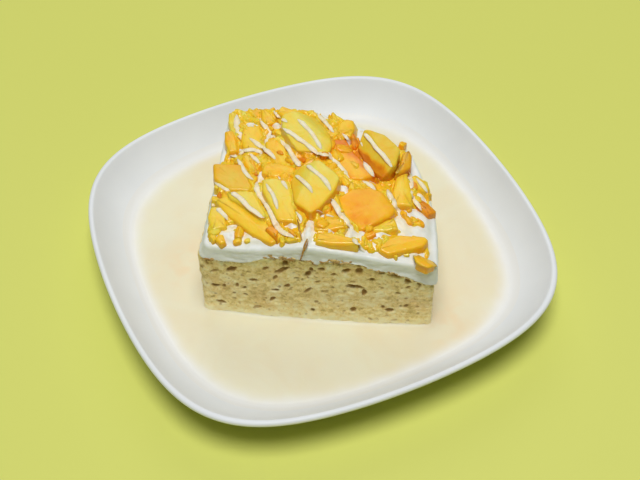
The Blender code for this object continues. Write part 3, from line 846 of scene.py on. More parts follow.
# One row for each large piece of mango, as in the CAD model: node, middle x and y in
# the cake frame, length, width, how wide each end is over the middle, height above the
# cream, turn, lean back, lean right; then how orange it is (0 to 1), how far its ridge
# stands up, and which side of its length the ridge lies (-1 to 1).
MANGO = [
    ("mango_tall", 68.8, 54.3, 25.0, 16.6, 0.35, 0.82, 11.0, -50, 5, 3, 0.28, 0.5, 0.2),
    ("mango_centre", 44.4, 27.4, 27.0, 20.3, 0.77, 0.40, 7.0, -94, 3, -2, 0.12, 0.9, 0.3),
    ("mango_back", 37.8, 62.2, 27.5, 21.0, 0.54, 0.63, 7.0, 122, 3, 3, 0.08, 1.3, -0.2),
    ("mango_right", 66.2, 24.6, 19.8, 22.0, 0.73, 0.59, 4.5, 129, 2, 2, 0.62, 1.2, 0.1),
    ("mango_middle", 31.2, 22.8, 22.0, 12.0, 0.66, 0.79, 6.0, 113, 1, 0, 0.20, 0.6, 0.0),
    ("mango_left", 9.7, 35.3, 20.5, 13.1, 0.40, 0.86, 5.0, 140, 2, 0, 0.42, 0.4, 0.1),
    ("mango_pale_left", 19.2, 19.8, 20.0, 8.0, 0.40, 0.90, 6.0, 134, 1, 0, 0.12, 0.5, 0.2),
    ("mango_front_left", 18.6, 12.4, 31.5, 9.2, 0.60, 0.76, 4.0, -41, 0, 0, 0.38, 0.6, 0.0),
    ("mango_flat", 57.0, 50.0, 26.5, 11.6, 0.72, 0.71, 4.0, -55, 0, 0, 0.66, 0.5, 0.0),
    ("mango_slice", 81.2, 51.5, 14.0, 5.0, 0.76, 0.73, 8.0, 81, 0, 4, 0.62, 0.3, 0.0),
    ("mango_side", 80.6, 37.2, 20.0, 8.7, 0.41, 0.94, 5.0, -86, 0, 2, 0.40, 0.6, 0.1),
    ("mango_front_right", 82.9, 6.8, 21.2, 9.2, 0.41, 0.75, 4.0, 21, 0, 0, 0.48, 0.6, 0.1),
    ("mango_front_a", 52.8, 9.8, 12.5, 7.0, 0.71, 0.69, 3.5, 12, 0, 0, 0.50, 0.5, 0.0),
    ("mango_front_b", 56.8, 2.2, 16.9, 6.2, 0.90, 0.45, 3.5, -4, 0, 0, 0.45, 0.4, 0.0),
    ("mango_behind", 74.8, 14.6, 10.4, 6.6, 0.42, 0.90, 3.5, 20, 0, 0, 0.28, 0.4, 0.0),
    ("mango_corner", 91.8, -0.2, 8.6, 8.4, 0.82, 0.62, 2.5, 121, -8, 8, 0.50, 0.5, 0.0),
    ("mango_edge", 90.6, 30.9, 10.0, 5.2, 0.41, 0.90, 3.0, -50, 0, 3, 0.70, 0.3, 0.0),
    ("mango_side_right", 88.0, 44.0, 11.0, 6.6, 0.50, 0.40, 3.5, -51, 0, 3, 0.34, 0.4, 0.0),
    ("mango_between", 26.1, 51.9, 16.5, 8.8, 0.66, 0.61, 4.5, 115, 0, 0, 0.52, 0.6, 0.0),
    ("mango_low", 28.3, 41.2, 14.0, 8.6, 0.50, 0.69, 4.0, 174, 0, 0, 0.46, 0.5, 0.0),
    ("mango_left_b", 13.9, 61.4, 14.4, 10.4, 0.73, 0.69, 4.5, 100, 2, 0, 0.40, 0.6, 0.0),
    ("mango_left_c", 5.0, 58.7, 13.6, 5.4, 0.70, 0.71, 4.5, 108, 0, -2, 0.52, 0.4, 0.0),
    ("mango_left_d", 3.6, 73.1, 12.4, 4.5, 0.72, 0.71, 3.5, 102, 0, 0, 0.10, 0.3, 0.0),
    ("mango_ring", 15.2, 44.9, 11.6, 4.4, 0.41, 0.83, 4.0, 114, 0, 0, 0.50, 0.3, 0.0),
    ("mango_back_left", 18.4, 75.9, 10.5, 6.2, 0.41, 0.84, 5.0, -63, 0, 0, 0.46, 0.4, 0.0),
    ("mango_back_edge", 28.4, 78.2, 11.4, 6.6, 0.69, 0.71, 5.0, -27, 3, 0, 0.48, 0.4, 0.0),
    ("mango_back_right", 54.5, 70.4, 9.6, 8.0, 0.50, 0.82, 5.0, -100, 2, 0, 0.42, 0.4, 0.0),
    ("mango_side_left", 6.3, 12.8, 13.0, 7.4, 0.45, 0.91, 3.5, -71, 0, -2, 0.28, 0.4, 0.0),
]


# Corners of the larger pieces' upper faces, in the cake frame.
OUTLINES = {
    "mango_tall": [(60.1, 56.6), (65.2, 46.8), (72.0, 40.4), (76.9, 45.8), (78.4, 55.5), (71.3, 62.8), (62.0, 65.2)],
    "mango_centre": [(34.5, 32.0), (38.1, 17.9), (45.0, 12.6), (48.5, 15.6), (54.0, 26.5), (55.2, 33.7), (45.8, 42.0), (37.6, 39.6)],
    "mango_back": [(25.4, 71.0), (26.8, 63.3), (34.5, 51.2), (48.0, 50.4), (49.4, 55.6), (47.9, 63.5), (39.8, 74.2), (30.0, 73.8)],
    "mango_right": [(54.6, 26.6), (57.2, 17.9), (65.6, 10.0), (77.2, 18.7), (78.8, 22.6), (73.0, 32.4), (67.5, 34.0), (60.1, 32.0)],
    "mango_left": [(-0.2, 42.6), (1.6, 33.6), (8.6, 28.1), (17.4, 28.3), (18.8, 30.6), (11.6, 43.8)],
    "mango_front_left": [(4.0, 21.8), (8.9, 15.3), (21.4, 4.4), (30.4, -0.6), (33.6, 1.2), (30.6, 8.2), (17.0, 19.3), (8.2, 24.4)],
    "mango_pale_left": [(8.3, 25.6), (10.2, 22.0), (17.9, 16.7), (25.3, 10.9), (27.2, 12.8), (22.8, 20.8), (19.6, 26.5)],
    "mango_middle": [(22.8, 31.8), (23.3, 25.5), (27.9, 16.9), (31.8, 9.4), (39.0, 9.2), (39.4, 13.4), (33.6, 32.2), (28.2, 32.8)],
    "mango_flat": [(48.0, 54.5), (50.1, 49.1), (58.7, 38.8), (63.8, 38.4), (69.6, 42.0), (58.1, 56.7), (54.6, 64.0), (49.3, 61.9)],
    "mango_slice": [(76.6, 42.6), (81.0, 45.7), (83.4, 48.3), (83.5, 55.5), (82.1, 59.0), (79.4, 57.0), (78.5, 49.5)],
    "mango_corner": [(87.4, 2.2), (90.6, 4.6), (94.6, 4.2), (96.3, -0.4), (93.0, -3.6), (88.6, -1.8)],
    "mango_front_right": [(72.8, 1.8), (77.2, -0.2), (91.0, 5.8), (93.0, 9.0), (91.5, 10.8), (80.5, 11.1), (75.4, 7.7)],
}


def rounded_outline(corners, radius, count):
    """A closed outline through a convex polygon, with its corners rounded."""
    corners = np.asarray(corners, float)
    m = len(corners)
    parts = []
    for i in range(m):
        p, a, b = corners[i], corners[i - 1], corners[(i + 1) % m]
        la, lb = np.linalg.norm(a - p), np.linalg.norm(b - p)
        cut = min(radius, 0.45 * la, 0.45 * lb)
        start, end = p + (a - p) / la * cut, p + (b - p) / lb * cut
        t = np.linspace(0, 1, 8)[:, None]
        parts.append((1 - t) ** 2 * start + 2 * t * (1 - t) * p + t * t * end)
    path = np.concatenate(parts)
    loop = np.vstack([path, path[:1]])
    at = np.concatenate([[0], np.cumsum(np.linalg.norm(np.diff(loop, axis=0), axis=1))])
    want = np.arange(count) * at[-1] / count
    return np.stack([np.interp(want, at, loop[:, 0]), np.interp(want, at, loop[:, 1])], 1)


def six_corners(length, width, end_a, end_b, rng, uneven):
    half_l, half_w = length / 2, width / 2
    middle = rng.uniform(-0.25, 0.25) * half_l
    corners = np.array(
        [
            (-half_l, -half_w * end_a), (middle, -half_w), (half_l, -half_w * end_b),
            (half_l, half_w * end_b), (middle + rng.uniform(-1, 1) * 0.1 * half_l, half_w), (-half_l, half_w * end_a),
        ]
    )
    return corners + rng.uniform(-uneven, uneven, corners.shape) * width


def shard_corners(length, width, rng):
    """A convex piece with four to six corners."""
    count = int(rng.choice((4, 5, 5, 6)))
    angle = (np.arange(count) + rng.uniform(-0.28, 0.28, count)) * 2 * math.pi / count + rng.uniform(0, 6.28)
    away = rng.uniform(0.86, 1.08, count)
    return np.stack([0.56 * length * away * np.cos(angle), 0.56 * width * away * np.sin(angle)], 1)


def cut_piece(corners, rise, sink, ripe, off, step, edge, ridge=0.0, slant=(0.0, 0.0), rows_of=(8, 4), wet=1.0, crease=None):
    """Rings of a knife-cut piece, from its hidden foot to the middle of its top."""
    corners = np.asarray(corners, float)
    around = np.linalg.norm(corners - np.roll(corners, 1, 0), axis=1).sum()
    count = int(max(20, around / step))
    span = np.ptp(corners, axis=0).min()
    outline = rounded_outline(corners, 0.07 * span + 0.25, count)
    ox, oy = outline[:, 0], outline[:, 1]
    nx, ny = outward(ox, oy)
    edge = min(edge, 0.35 * rise, 0.2 * span)
    mx, my = outline.mean(0)
    half = 0.5 * np.ptp(oy)
    wobble = wet * 0.16 * fbm(ox / 4 + off, oy / 4, 0.0, 71, 3)
    reach = np.hypot(ox - mx, oy - my).mean()

    def top_z(px, py):
        """A flat cut with a shallow ridge, saw marks and soft dips."""
        away = np.abs(py - my) / half
        z = rise + ridge * (0.5 - np.minimum(away, 1.0) ** 1.2)
        z = z + slant[0] * (px - mx) / reach + slant[1] * (py - my) / reach
        if crease:
            across = crease[0] * px + crease[1] * py - crease[2]
            z = z - crease[3] * 0.5 * (across + np.sqrt(across**2 + 0.25))
        z = z + wet * 0.22 * fbm(px / 5 + off, py / 5, 1.0, 72, 3) * min(1.0, rise / 4)
        return z + wet * 0.05 * noise(px / 0.8 + off, py / 3.0, 2.0, 73)

    rows, tone = [], []
    side_rows, round_rows = rows_of
    top_rows = max(3, int(0.5 * span / (1.35 * step) / 1.3))
    inner_x, inner_y = ox - nx * edge, oy - ny * edge
    upper = top_z(inner_x, inner_y)
    draft = 0.05 * rise
    # painted shade: the hidden foot, the sides and the rounded arrises take a deeper orange tone than the top
    rows.append(np.stack([mx + (ox - mx) * 0.8, my + (oy - my) * 0.8, np.full(count, -sink)], -1))
    tone.append(np.full(count, ripe + 0.16))
    for j in range(side_rows):
        h = j / (side_rows - 1)
        z = -sink + (upper - edge + sink) * h
        push = draft * (1 - h) + 0.12 * math.sin(math.pi * h) * min(1, rise / 4) + wobble
        push = push + wet * 0.10 * fbm(ox / 1.6 + off, oy / 1.6, z / 1.6, 74, 2)
        rows.append(np.stack([ox + nx * push, oy + ny * push, z], -1))
        tone.append(np.full(count, ripe + 0.16 - 0.08 * h))
    for j in range(1, round_rows + 1):
        a = j / round_rows * math.pi / 2
        push = wobble - edge * (1 - math.cos(a))
        rows.append(np.stack([ox + nx * push, oy + ny * push, upper - edge + edge * math.sin(a)], -1))
        tone.append(np.full(count, ripe + 0.08 - 0.04 * j / round_rows))
    rim_x, rim_y = ox + nx * (wobble - edge), oy + ny * (wobble - edge)
    lift = upper - top_z(rim_x, rim_y)
    for j in range(1, top_rows):
        share = 1 - j / top_rows
        px, py = mx + (rim_x - mx) * share, my + (rim_y - my) * share
        rows.append(np.stack([px, py, top_z(px, py) + lift * (1 - smooth(1.0, 0.8, share))], -1))
        # painted shade: the top deepens towards its edge and on one side of its ridge
        side = np.tanh((py - my) / (0.12 * half)) * 0.05 * min(1.0, abs(ridge))
        tone.append(ripe + 0.05 * share + side)
    low = np.array([mx, my, -sink])
    high = np.array([mx, my, float(top_z(np.array([mx]), np.array([my]))[0])])
    return np.array(rows), low, high, np.clip(np.array(tone), 0, 1)


def stand(x, y, turn, back=0.0, right=0.0):
    """Turn and shift that put a piece's own frame on the cream at (x, y) of the cake."""
    px, py = to_plate(x, y)
    z = float(cream_z(np.array([x]), np.array([y]))[0])
    lean = Matrix.Rotation(math.radians(back), 4, "X") @ Matrix.Rotation(math.radians(right), 4, "Y")
    placed = Matrix.Rotation(CAKE_YAW, 4, "Z") @ lean @ Matrix.Rotation(math.radians(turn), 4, "Z")
    return np.array(placed.to_3x3()), np.array([px, py, z])


def piece_corners(row, number):
    """Corners of a larger piece's upper face in its own frame."""
    node, x, y, length, width, end_a, end_b, rise, turn = row[:9]
    c, s = math.cos(math.radians(turn)), math.sin(math.radians(turn))
    if node in OUTLINES:
        return np.array([((u - x) * c + (v - y) * s, -(u - x) * s + (v - y) * c) for u, v in OUTLINES[node]])
    return six_corners(length, width, end_a, end_b, np.random.default_rng(100 + number), 0.03)


def from_piece(row, number, x, y):
    """Signed distance in mm from a larger piece's side, seen from above."""
    corners = piece_corners(row, number)
    c, s = math.cos(math.radians(row[8])), math.sin(math.radians(row[8]))
    u, v = (x - row[1]) * c + (y - row[2]) * s, -(x - row[1]) * s + (y - row[2]) * c
    turn_sum = np.cross(corners, np.roll(corners, -1, 0)).sum()
    corners = corners if turn_sum > 0 else corners[::-1]
    most = np.full(np.broadcast(x, y).shape, -99.0)
    for i, p in enumerate(corners):
        q = corners[(i + 1) % len(corners)]
        side = (q - p) / (np.linalg.norm(q - p) + 1e-9)
        most = np.maximum(most, (u - p[0]) * side[1] - (v - p[1]) * side[0])
    return most


def build_mango(row, number):
    """One of the larger pieces: knife-flat faces, soft arrises, wet flesh."""
    node, x, y, length, width, end_a, end_b, rise, turn, back, right, ripe, ridge, side = row
    rng = np.random.default_rng(300 + number)
    corners = piece_corners(row, number)
    slant = rng.uniform(-0.25, 0.25, 2)
    rows, low, high, tone = cut_piece(
        corners, rise, 1.6, ripe, number * 13.7, 0.55, EDGES.get(node, 1.15), ridge, slant, crease=CREASES.get(node)
    )
    turn3, shift = stand(x, y, turn, back, right)
    rows = rows @ turn3.T + shift
    seed = np.full(tone.shape, (number * 0.618) % 1)
    # the flesh is riper towards the front
    cx, cy = to_cake(rows[..., 0], rows[..., 1])
    tone = np.clip(tone + PULL.get(node, 0.0) * (y - cy) / 12, 0, 1)
    # painted shade: the lower sides of some pieces are painted a deeper orange and darker
    below = 3.2 if node == "mango_tall" else 0.6
    deep = SIDE_SHADE.get(node, 0.0) * smooth(0.3, -1.8, rows[..., 2] - high @ turn3[2] - shift[2] + below)
    tone = np.clip(tone + deep, 0, 1)
    # painted shade: some whole pieces, and the shaded parts of their sides, are darkened
    shade_and_juice_dim = np.full(tone.shape, PIECE_SHADE.get(node, 0.0)) + 0.4 * SIDE_SHADE.get(node, 0.0) * (deep > 0) * (deep / max(1e-6, deep.max()))
    # along the foot of the tall piece the flesh is painted deeper and darker, partly for the juice and puree that
    # gather there and partly as painted shade; the flat piece beside it deepens towards that foot too
    foot = (cx - 62.8) * 0.695 + (cy - 55.8) * 0.719 + 0.7 * noise(cx / 2.5, cy / 2.5, 1.0, 61)
    if node == "mango_tall":
        juice_and_shade = smooth(-0.1, -1.7, foot + 0.05 * (cx - 62.8))
        tone, shade_and_juice_dim = np.clip(tone + 0.70 * juice_and_shade, 0, 1), shade_and_juice_dim + 0.10 * juice_and_shade
    if node == "mango_flat":
        tone = np.clip(tone + 0.42 * smooth(-9.5, -3.5, foot), 0, 1)
    return skin(
        node.replace("mango_", "mango_piece_"), rows, turn3 @ low + shift, turn3 @ high + shift,
        {"tone": tone, "seed": seed, "shade_and_juice_dim": shade_and_juice_dim},
    )


# A second cut: which way it falls, where it begins and how steep it is.
CREASES = {
    "mango_tall": (-0.18, -0.98, -0.6, 0.62),
    "mango_corner": (0.60, -0.80, -0.5, 0.40),
    "mango_centre": (-0.20, -0.98, 3.4, 0.35),
    "mango_back": (0.30, -0.95, 4.5, 0.40),
}
# How much riper a piece gets towards the front, how much painted shade darkens some whole pieces, and how much painted
# shade deepens their lower sides against their tops.
PULL = {"mango_centre": 0.12, "mango_back": 0.06, "mango_left": -0.10, "mango_middle": 0.16, "mango_front_left": 0.10}
EDGES = {"mango_tall": 0.8, "mango_centre": 0.9, "mango_corner": 0.8, "mango_back": 0.9}
PIECE_SHADE = {"mango_tall": 0.22, "mango_left": 0.25, "mango_slice": 0.40, "mango_edge": 0.25, "mango_corner": 0.15}
SIDE_SHADE = {"mango_tall": 0.55, "mango_centre": 0.30, "mango_back": 0.2, "mango_slice": 0.25, "mango_right": 0.15}


def seen(x, y, rise):
    """From a place read off the view as if it were 4 mm above the cream, to the true one."""
    back = 0.9 * (4.0 - rise)
    return x - 0.117 * back, y + 0.993 * back


FORWARD = (2.8,)  # the front row stands this far back from the edge

# Small pieces that can be told apart: x, y, length, width, rise, turn, how ripe.
BITS = [
    (6.0, -0.2, 6.8, 3.2, 2.8, 96, 0.46), (9.9, -1.6, 5.6, 4.2, 3.0, 122, 0.50),
    (16.4, 2.0, 6.6, 4.4, 3.4, 92, 0.66), (16.6, -2.0, 4.4, 3.4, 2.6, 70, 0.46),
    (30.6, 4.6, 8.0, 4.4, 4.6, -52, 0.88), (38.9, 3.3, 6.0, 3.0, 3.4, -36, 0.74),
    (37.6, -2.6, 7.6, 2.8, 2.4, -4, 0.42), (20.6, -2.0, 3.0, 2.4, 2.2, 15, 0.26),
    (41.4, 11.4, 7.2, 2.6, 3.4, -62, 0.46), (51.0, -1.8, 6.6, 3.4, 2.7, -8, 0.58),
    (60.2, -1.0, 7.0, 3.4, 2.7, 4, 0.44), (67.4, 1.4, 5.4, 2.8, 2.6, -72, 0.50),
    (57.2, 10.6, 5.4, 3.4, 3.8, 78, 0.30), (49.6, 9.2, 6.4, 5.4, 4.0, 20, 0.62),
    (69.6, 7.8, 5.0, 4.2, 3.3, 18, 0.74), (72.8, 2.2, 5.0, 4.0, 2.8, 32, 0.36),
    (78.6, 1.2, 6.2, 3.0, 2.6, 10, 0.52), (63.4, 4.2, 3.0, 2.2, 2.2, 0, 0.24),
    (84.6, -1.6, 2.8, 2.0, 2.0, 0, 0.26), (84.0, 20.6, 7.2, 2.8, 2.6, -40, 0.66),
    (89.2, 20.2, 5.6, 2.4, 2.4, -58, 0.86), (84.4, 27.0, 3.4, 2.4, 2.6, 78, 0.50),
    (85.2, 42.6, 5.6, 4.2, 3.3, -62, 0.80), (86.4, 36.6, 4.8, 2.2, 2.8, -80, 0.46),
    (79.2, 67.8, 3.6, 3.2, 3.6, 62, 0.58),
    (9.4, 77.6, 5.8, 3.0, 3.0, 100, 0.34), (12.8, 75.2, 5.0, 2.6, 3.0, -42, 0.24),
    (33.4, 79.0, 6.4, 3.0, 3.4, -32, 0.52), (11.4, 67.4, 6.4, 4.6, 3.6, -20, 0.58),
    (10.9, 64.0, 2.6, 2.2, 4.6, 20, 0.96), (16.2, 64.6, 8.6, 4.8, 3.8, -52, 0.36),
    (5.0, 60.2, 8.0, 4.6, 3.4, 98, 0.54), (12.4, 58.6, 5.6, 4.6, 3.4, -30, 0.56),
    (7.0, 54.6, 4.6, 4.0, 3.0, 10, 0.64), (18.8, 58.0, 6.0, 3.4, 3.2, -60, 0.40),
    (22.6, 51.6, 7.0, 3.8, 3.6, -52, 0.40), (27.3, 52.6, 3.2, 2.2, 5.2, -25, 0.92),
    (16.9, 43.6, 9.0, 2.4, 3.8, -66, 0.82), (12.6, 46.2, 8.0, 2.2, 3.4, -58, 0.60),
    (14.9, 48.4, 5.0, 1.8, 3.8, -66, 0.74), (25.4, 39.0, 5.4, 4.4, 3.8, 12, 0.58),
    (22.6, 43.4, 4.6, 3.6, 3.2, -10, 0.46), (33.4, 47.0, 6.6, 5.0, 4.2, -30, 0.62),
    (37.6, 47.4, 4.4, 2.4, 4.6, -22, 1.0), (43.4, 46.6, 6.0, 3.2, 3.6, -12, 0.70),
    (45.9, 52.0, 3.2, 2.2, 6.0, 25, 0.92), (31.4, 57.8, 6.0, 3.0, 3.8, -58, 0.56),
    (48.6, 58.8, 7.0, 4.6, 4.6, 84, 0.66), (53.6, 57.0, 7.4, 5.6, 5.0, -10, 0.72),
    (52.4, 64.0, 6.6, 4.6, 4.4, 48, 0.60), (54.6, 68.8, 7.0, 3.4, 5.0, 24, 0.52),
    (58.6, 60.6, 8.0, 4.2, 4.2, -78, 0.86), (58.2, 66.4, 5.0, 3.0, 4.2, -66, 0.88),
    (52.4, 51.4, 8.0, 5.0, 4.6, -52, 0.56), (60.4, 47.4, 7.0, 4.6, 4.6, -46, 0.60),
    (61.6, 55.2, 5.4, 3.4, 4.8, -52, 0.94), (67.6, 37.4, 8.0, 3.4, 3.4, -14, 0.54),
    (72.6, 44.0, 5.6, 3.6, 4.8, 30, 0.98), (64.8, 41.6, 6.0, 3.6, 3.8, -50, 0.66),
    (51.5, 18.6, 6.4, 3.2, 3.4, -82, 0.76), (53.0, 27.0, 5.0, 2.2, 3.8, 48, 0.92),
    (57.0, 36.6, 5.6, 3.6, 3.8, -60, 0.50), (74.8, 37.2, 5.0, 3.0, 3.4, -70, 0.62),
    (5.6, 25.2, 6.0, 3.2, 4.2, -72, 0.80), (6.0, 9.0, 7.4, 5.2, 3.0, 70, 0.30),
    (8.6, 17.6, 5.6, 3.6, 3.6, -50, 0.50), (76.0, 13.8, 5.6, 4.4, 3.6, 10, 0.30),
    (88.6, 29.6, 6.2, 3.0, 3.0, -38, 0.84), (90.6, 43.8, 4.4, 2.8, 3.2, -66, 0.24),
    (80.6, 46.0, 6.0, 3.4, 5.0, 80, 0.58), (79.6, 33.6, 5.4, 3.8, 4.0, 10, 0.58),
]

# Where the cream shows between the mango: x, y, half length, half width, turn, height.
PATCHES = [
    (22.6, 71.4, 2.9, 2.0, -35, 3.2), (20.8, 37.4, 4.6, 1.7, 84, 3.0), (30.4, 40.6, 2.6, 1.2, -52, 3.4),
    (56.9, 31.6, 3.5, 1.9, 86, 3.2), (81.0, 27.2, 2.4, 2.2, 0, 2.6), (78.0, 35.6, 2.7, 1.1, 78, 3.6),
    (89.2, 36.4, 2.2, 1.7, -40, 2.4), (84.2, 37.8, 2.6, 1.0, -80, 2.6), (36.2, 8.7, 4.6, 1.6, -36, 2.8),
    (45.2, 3.8, 6.0, 2.0, 88, 2.0), (61.6, 6.2, 3.6, 2.0, 84, 2.4), (66.0, 6.8, 3.2, 1.2, 84, 2.4),
    (53.6, 5.8, 2.2, 0.9, 5, 3.2), (73.8, 9.4, 3.8, 1.1, 12, 2.6), (72.4, 5.9, 1.7, 1.2, 0, 2.4),
    (82.2, 17.4, 4.6, 2.5, -60, 2.2), (88.4, 25.0, 4.6, 2.2, -24, 1.9), (88.0, 15.0, 5.0, 1.9, 4, 1.8),
    (87.4, 2.4, 3.6, 1.9, 28, 1.9), (11.4, 3.0, 3.6, 2.5, -55, 2.3), (13.0, 7.4, 3.0, 1.3, 20, 2.4),
    (21.0, 3.4, 4.8, 2.3, -70, 2.0), (26.4, -1.0, 5.0, 1.8, -14, 1.7), (3.6, 18.8, 2.4, 1.7, -40, 2.2),
    (2.0, 52.6, 2.6, 1.3, 86, 2.0), (13.4, 53.6, 5.0, 1.3, 4, 3.0), (8.0, 49.4, 2.6, 1.1, 8, 2.8),
    (56.0, 62.4, 2.6, 1.0, -70, 4.4), (48.2, 50.2, 2.6, 1.5, -18, 3.8), (21.8, 62.6, 2.6, 1.6, 80, 2.8),
    (91.6, 32.8, 2.6, 1.3, -60, 1.8), (66.4, 39.0, 4.4, 1.2, -10, 2.6), (11.6, 70.8, 3.4, 1.2, 4, 2.6),
    (93.0, 19.0, 5.0, 1.8, 84, 1.3), (43.6, 78.6, 3.0, 1.4, -50, 2.0), (77.6, 67.4, 3.4, 1.4, -40, 2.2),
    (51.6, 13.6, 3.2, 1.2, 8, 2.6), (1.4, 60.4, 6.0, 1.0, 88, 0.8),
]


# Broad swells of cream that the small pieces sit in: x, y, half sizes, height.
SWELLS = [
    (13, 4.5, 13, 5.5, 1.5), (27, 3.5, 8, 4.5, 1.3), (85, 22, 11, 12, 1.4), (62, 5.0, 12, 6.0, 1.6),
    (80, 6.0, 14, 6.5, 1.8), (52, 4.5, 9, 5.0, 1.4), (87, 38, 6, 8, 1.2), (36, 5.0, 8, 5.0, 1.2),
]


def in_patch(x, y):
    """0 well outside the cream's patches, 1 inside one."""
    most = np.zeros(np.broadcast(x, y).shape)
    x, y = x + 0.8 * noise(x / 1.7, y / 1.7, 0.0, 85), y + 0.8 * noise(x / 1.7, y / 1.7, 5.0, 86)
    for px, py, a, b, turn, high in PATCHES:
        a, b = (1.2 * a, 1.25 * b) if py < 12 else (1.2 * a, 1.25 * b) if py > 45 else (1.05 * a, 1.1 * b)
        sx, sy = seen(px, py, 2.0)
        c, s = math.cos(math.radians(turn)), math.sin(math.radians(turn))
        u, v = ((x - sx) * c + (y - sy) * s) / a, (-(x - sx) * s + (y - sy) * c) / b
        most = np.maximum(most, smooth(1.35, 0.75, np.hypot(u, v)))
    return most


def dollops(x, y):
    """How much the cream rises in its patches."""
    lift = np.zeros(np.broadcast(x, y).shape)
    x, y = x + 0.6 * noise(x / 1.9, y / 1.9, 0.0, 87), y + 0.6 * noise(x / 1.9, y / 1.9, 5.0, 88)
    for px, py, a, b, turn, high in PATCHES:
        sx, sy = seen(px, py, 0.8 * high)
        c, s = math.cos(math.radians(turn)), math.sin(math.radians(turn))
        u, v = ((x - sx) * c + (y - sy) * s) / (a * 1.15), (-(x - sx) * s + (y - sy) * c) / (b * 1.15)
        lift = np.maximum(lift, (1.2 if py > 45 else 0.95) * high * smooth(1.6, 0.2, np.hypot(u, v)))
    for px, py, a, b, high in SWELLS:
        lift = np.maximum(lift, high * smooth(1.25, 0.45, np.hypot((x - px) / a, (y - py) / b)))
    return lift


# How ripe the mango is from place to place: x, y, reach, more or less. The entry at (68, 44) is painted shade instead:
# it deepens the puree and small pieces at the shaded front foot of the tall piece.
RIPENESS = [
    (55, 52, 12, 0.22), (68, 44, 7, 0.40), (61, 58, 6, 0.30), (38, 47, 5, 0.25), (28, 44, 8, 0.14),
    (29, 4, 6, 0.25), (90, 25, 9, 0.20), (80, 40, 8, -0.02), (5, 72, 8, -0.24), (30, 62, 9, -0.08),
    (55, 4, 9, 0.04), (6, 10, 8, -0.14), (77, 14, 5, -0.16), (18, 76, 6, 0.12), (14, 64, 6, 0.06),
    (25, 22, 12, -0.12), (58, 10, 5, -0.10), (90, 45, 5, -0.10),
]


def ripeness(x, y):
    value = 0.42 + 0.10 * fbm(np.asarray(x) / 7, np.asarray(y) / 7, 3.0, 81, 2)
    for px, py, reach, more in RIPENESS:
        value = value + more * np.exp(-(((x - px) ** 2 + (y - py) ** 2) / reach**2))
    return value


def top_edge_distance(x, y):
    """Roughly how far a place lies inside the edge of the cream's top, in mm."""
    share = np.clip(y / 84.0, 0, 1)
    right = FRONT_WIDTH + (BACK_WIDTH - FRONT_WIDTH) * share + RIGHT_BULGE * np.clip(4 * share * (1 - share), 0, 1) ** 1.4
    u = np.clip(x / right, 0, 1)
    depth = LEFT_DEPTH + (RIGHT_DEPTH - LEFT_DEPTH) * u * u + BACK_BULGE * 4 * u * (1 - u)
    front = -FRONT_BULGE * 4 * u * (1 - u)
    left = CREAM_DRAFT * (1 - 0.8 * share)
    return np.minimum(np.minimum(x - left, right - x), np.minimum(y - front, depth - y))


def covered(x, y):
    """Whether one of the larger pieces stands here."""
    hit = np.zeros(np.broadcast(x, y).shape, bool)
    for number, row in enumerate(MANGO):
        hit |= from_piece(row, number, x, y) < -0.4
    return hit


def fill_bits(rng):
    """Chopped pieces of every size that fill the room between the larger ones."""
    placed = [(*seen(b[0], b[1], b[4]), 0.5 * math.sqrt(b[2] * b[3])) for b in BITS]
    rows = []
    tries = 0
    while tries < 5200 and len(rows) < 170:
        tries += 1
        x, y = rng.uniform(1, 96), rng.uniform(-2, 84)
        size = rng.uniform(1.5, 3.0) if rng.random() < 0.62 else rng.uniform(0.9, 1.6)
        inside = float(top_edge_distance(np.array(x), np.array(y)))
        if inside < 0.75 * size + 0.5 or covered(np.array(x), np.array(y)):
            continue
        if float(in_patch(np.array(x), np.array(y))) > 0.05:
            continue
        if x > 78 and y > 2 and y < 34 and rng.random() < 0.80:
            continue
        if y > 65 + max(0.0, 0.6 * (56 - x)) and x > 50 or x > 80.5 and y > 46:
            continue
        near = any(math.hypot(x - px, y - py) < 0.56 * (r + size) for px, py, r in placed)
        if near:
            continue
        placed.append((x, y, size))
        long = size * rng.uniform(2.1, 2.9)
        wide = size * rng.uniform(1.5, 2.1)
        rise = rng.uniform(2.9, 4.2) if size > 1.5 else rng.uniform(2.6, 3.4)
        rise = rise + 0.3 - 0.9 * float(smooth(74, 82, x)) - 0.9 * float(1 - smooth(6, 16, y)) - 0.8 * float(smooth(70, 78, y))
        ripe = float(ripeness(x, y)) + rng.normal(0, 0.10)
        rows.append((x, y, long, wide, rise, rng.choice((-50, 40, 110)) + rng.normal(0, 18), ripe))
    return rows


def build_bits():
    """All the small chopped pieces, in one mesh."""
    rng = np.random.default_rng(77)
    rows = [(*seen(b[0], b[1] + FORWARD[0] * (b[1] < 3), b[4]), *b[2:]) for b in BITS] + fill_bits(rng)
    points, faces, tones, seeds = [], [], [], []
    base = 0
    for k, (x, y, length, width, rise, turn, ripe) in enumerate(rows):
        if rng.random() < 0.35:
            corners = six_corners(length, width, rng.uniform(0.45, 0.9), rng.uniform(0.45, 0.9), rng, 0.06)
        else:
            corners = shard_corners(length, width, rng)
        rings, low, high, tone = cut_piece(
            corners, rise * (0.86 if y < 6 else 1.0), 1.2, ripe, k * 7.9, 0.5, min(1.3, 0.42 * rise), rng.uniform(-0.2, 0.9),
            rng.uniform(-0.45, 0.45, 2), (4, 3), 0.8,
        )
        turn3, shift = stand(x, y, turn, rng.normal(0, 6), rng.normal(0, 6))
        n = rings.shape[1]
        mesh = np.concatenate([rings.reshape(-1, 3), [low], [high]]) @ turn3.T + shift
        points.append(mesh)
        faces.extend((np.array(f) + base).tolist() for f in skin_faces(len(rings), n))
        tones.append(np.concatenate([tone.ravel(), [tone[0].mean()], [tone[-1].mean()]]))
        seeds.append(np.full(len(mesh), (k * 0.618) % 1))
        base += len(mesh)
    return make_object(
        "mango_chopped", np.concatenate(points), faces,
        {"tone": np.concatenate(tones), "seed": np.concatenate(seeds), "shade_and_juice_dim": np.zeros(base)},
    )


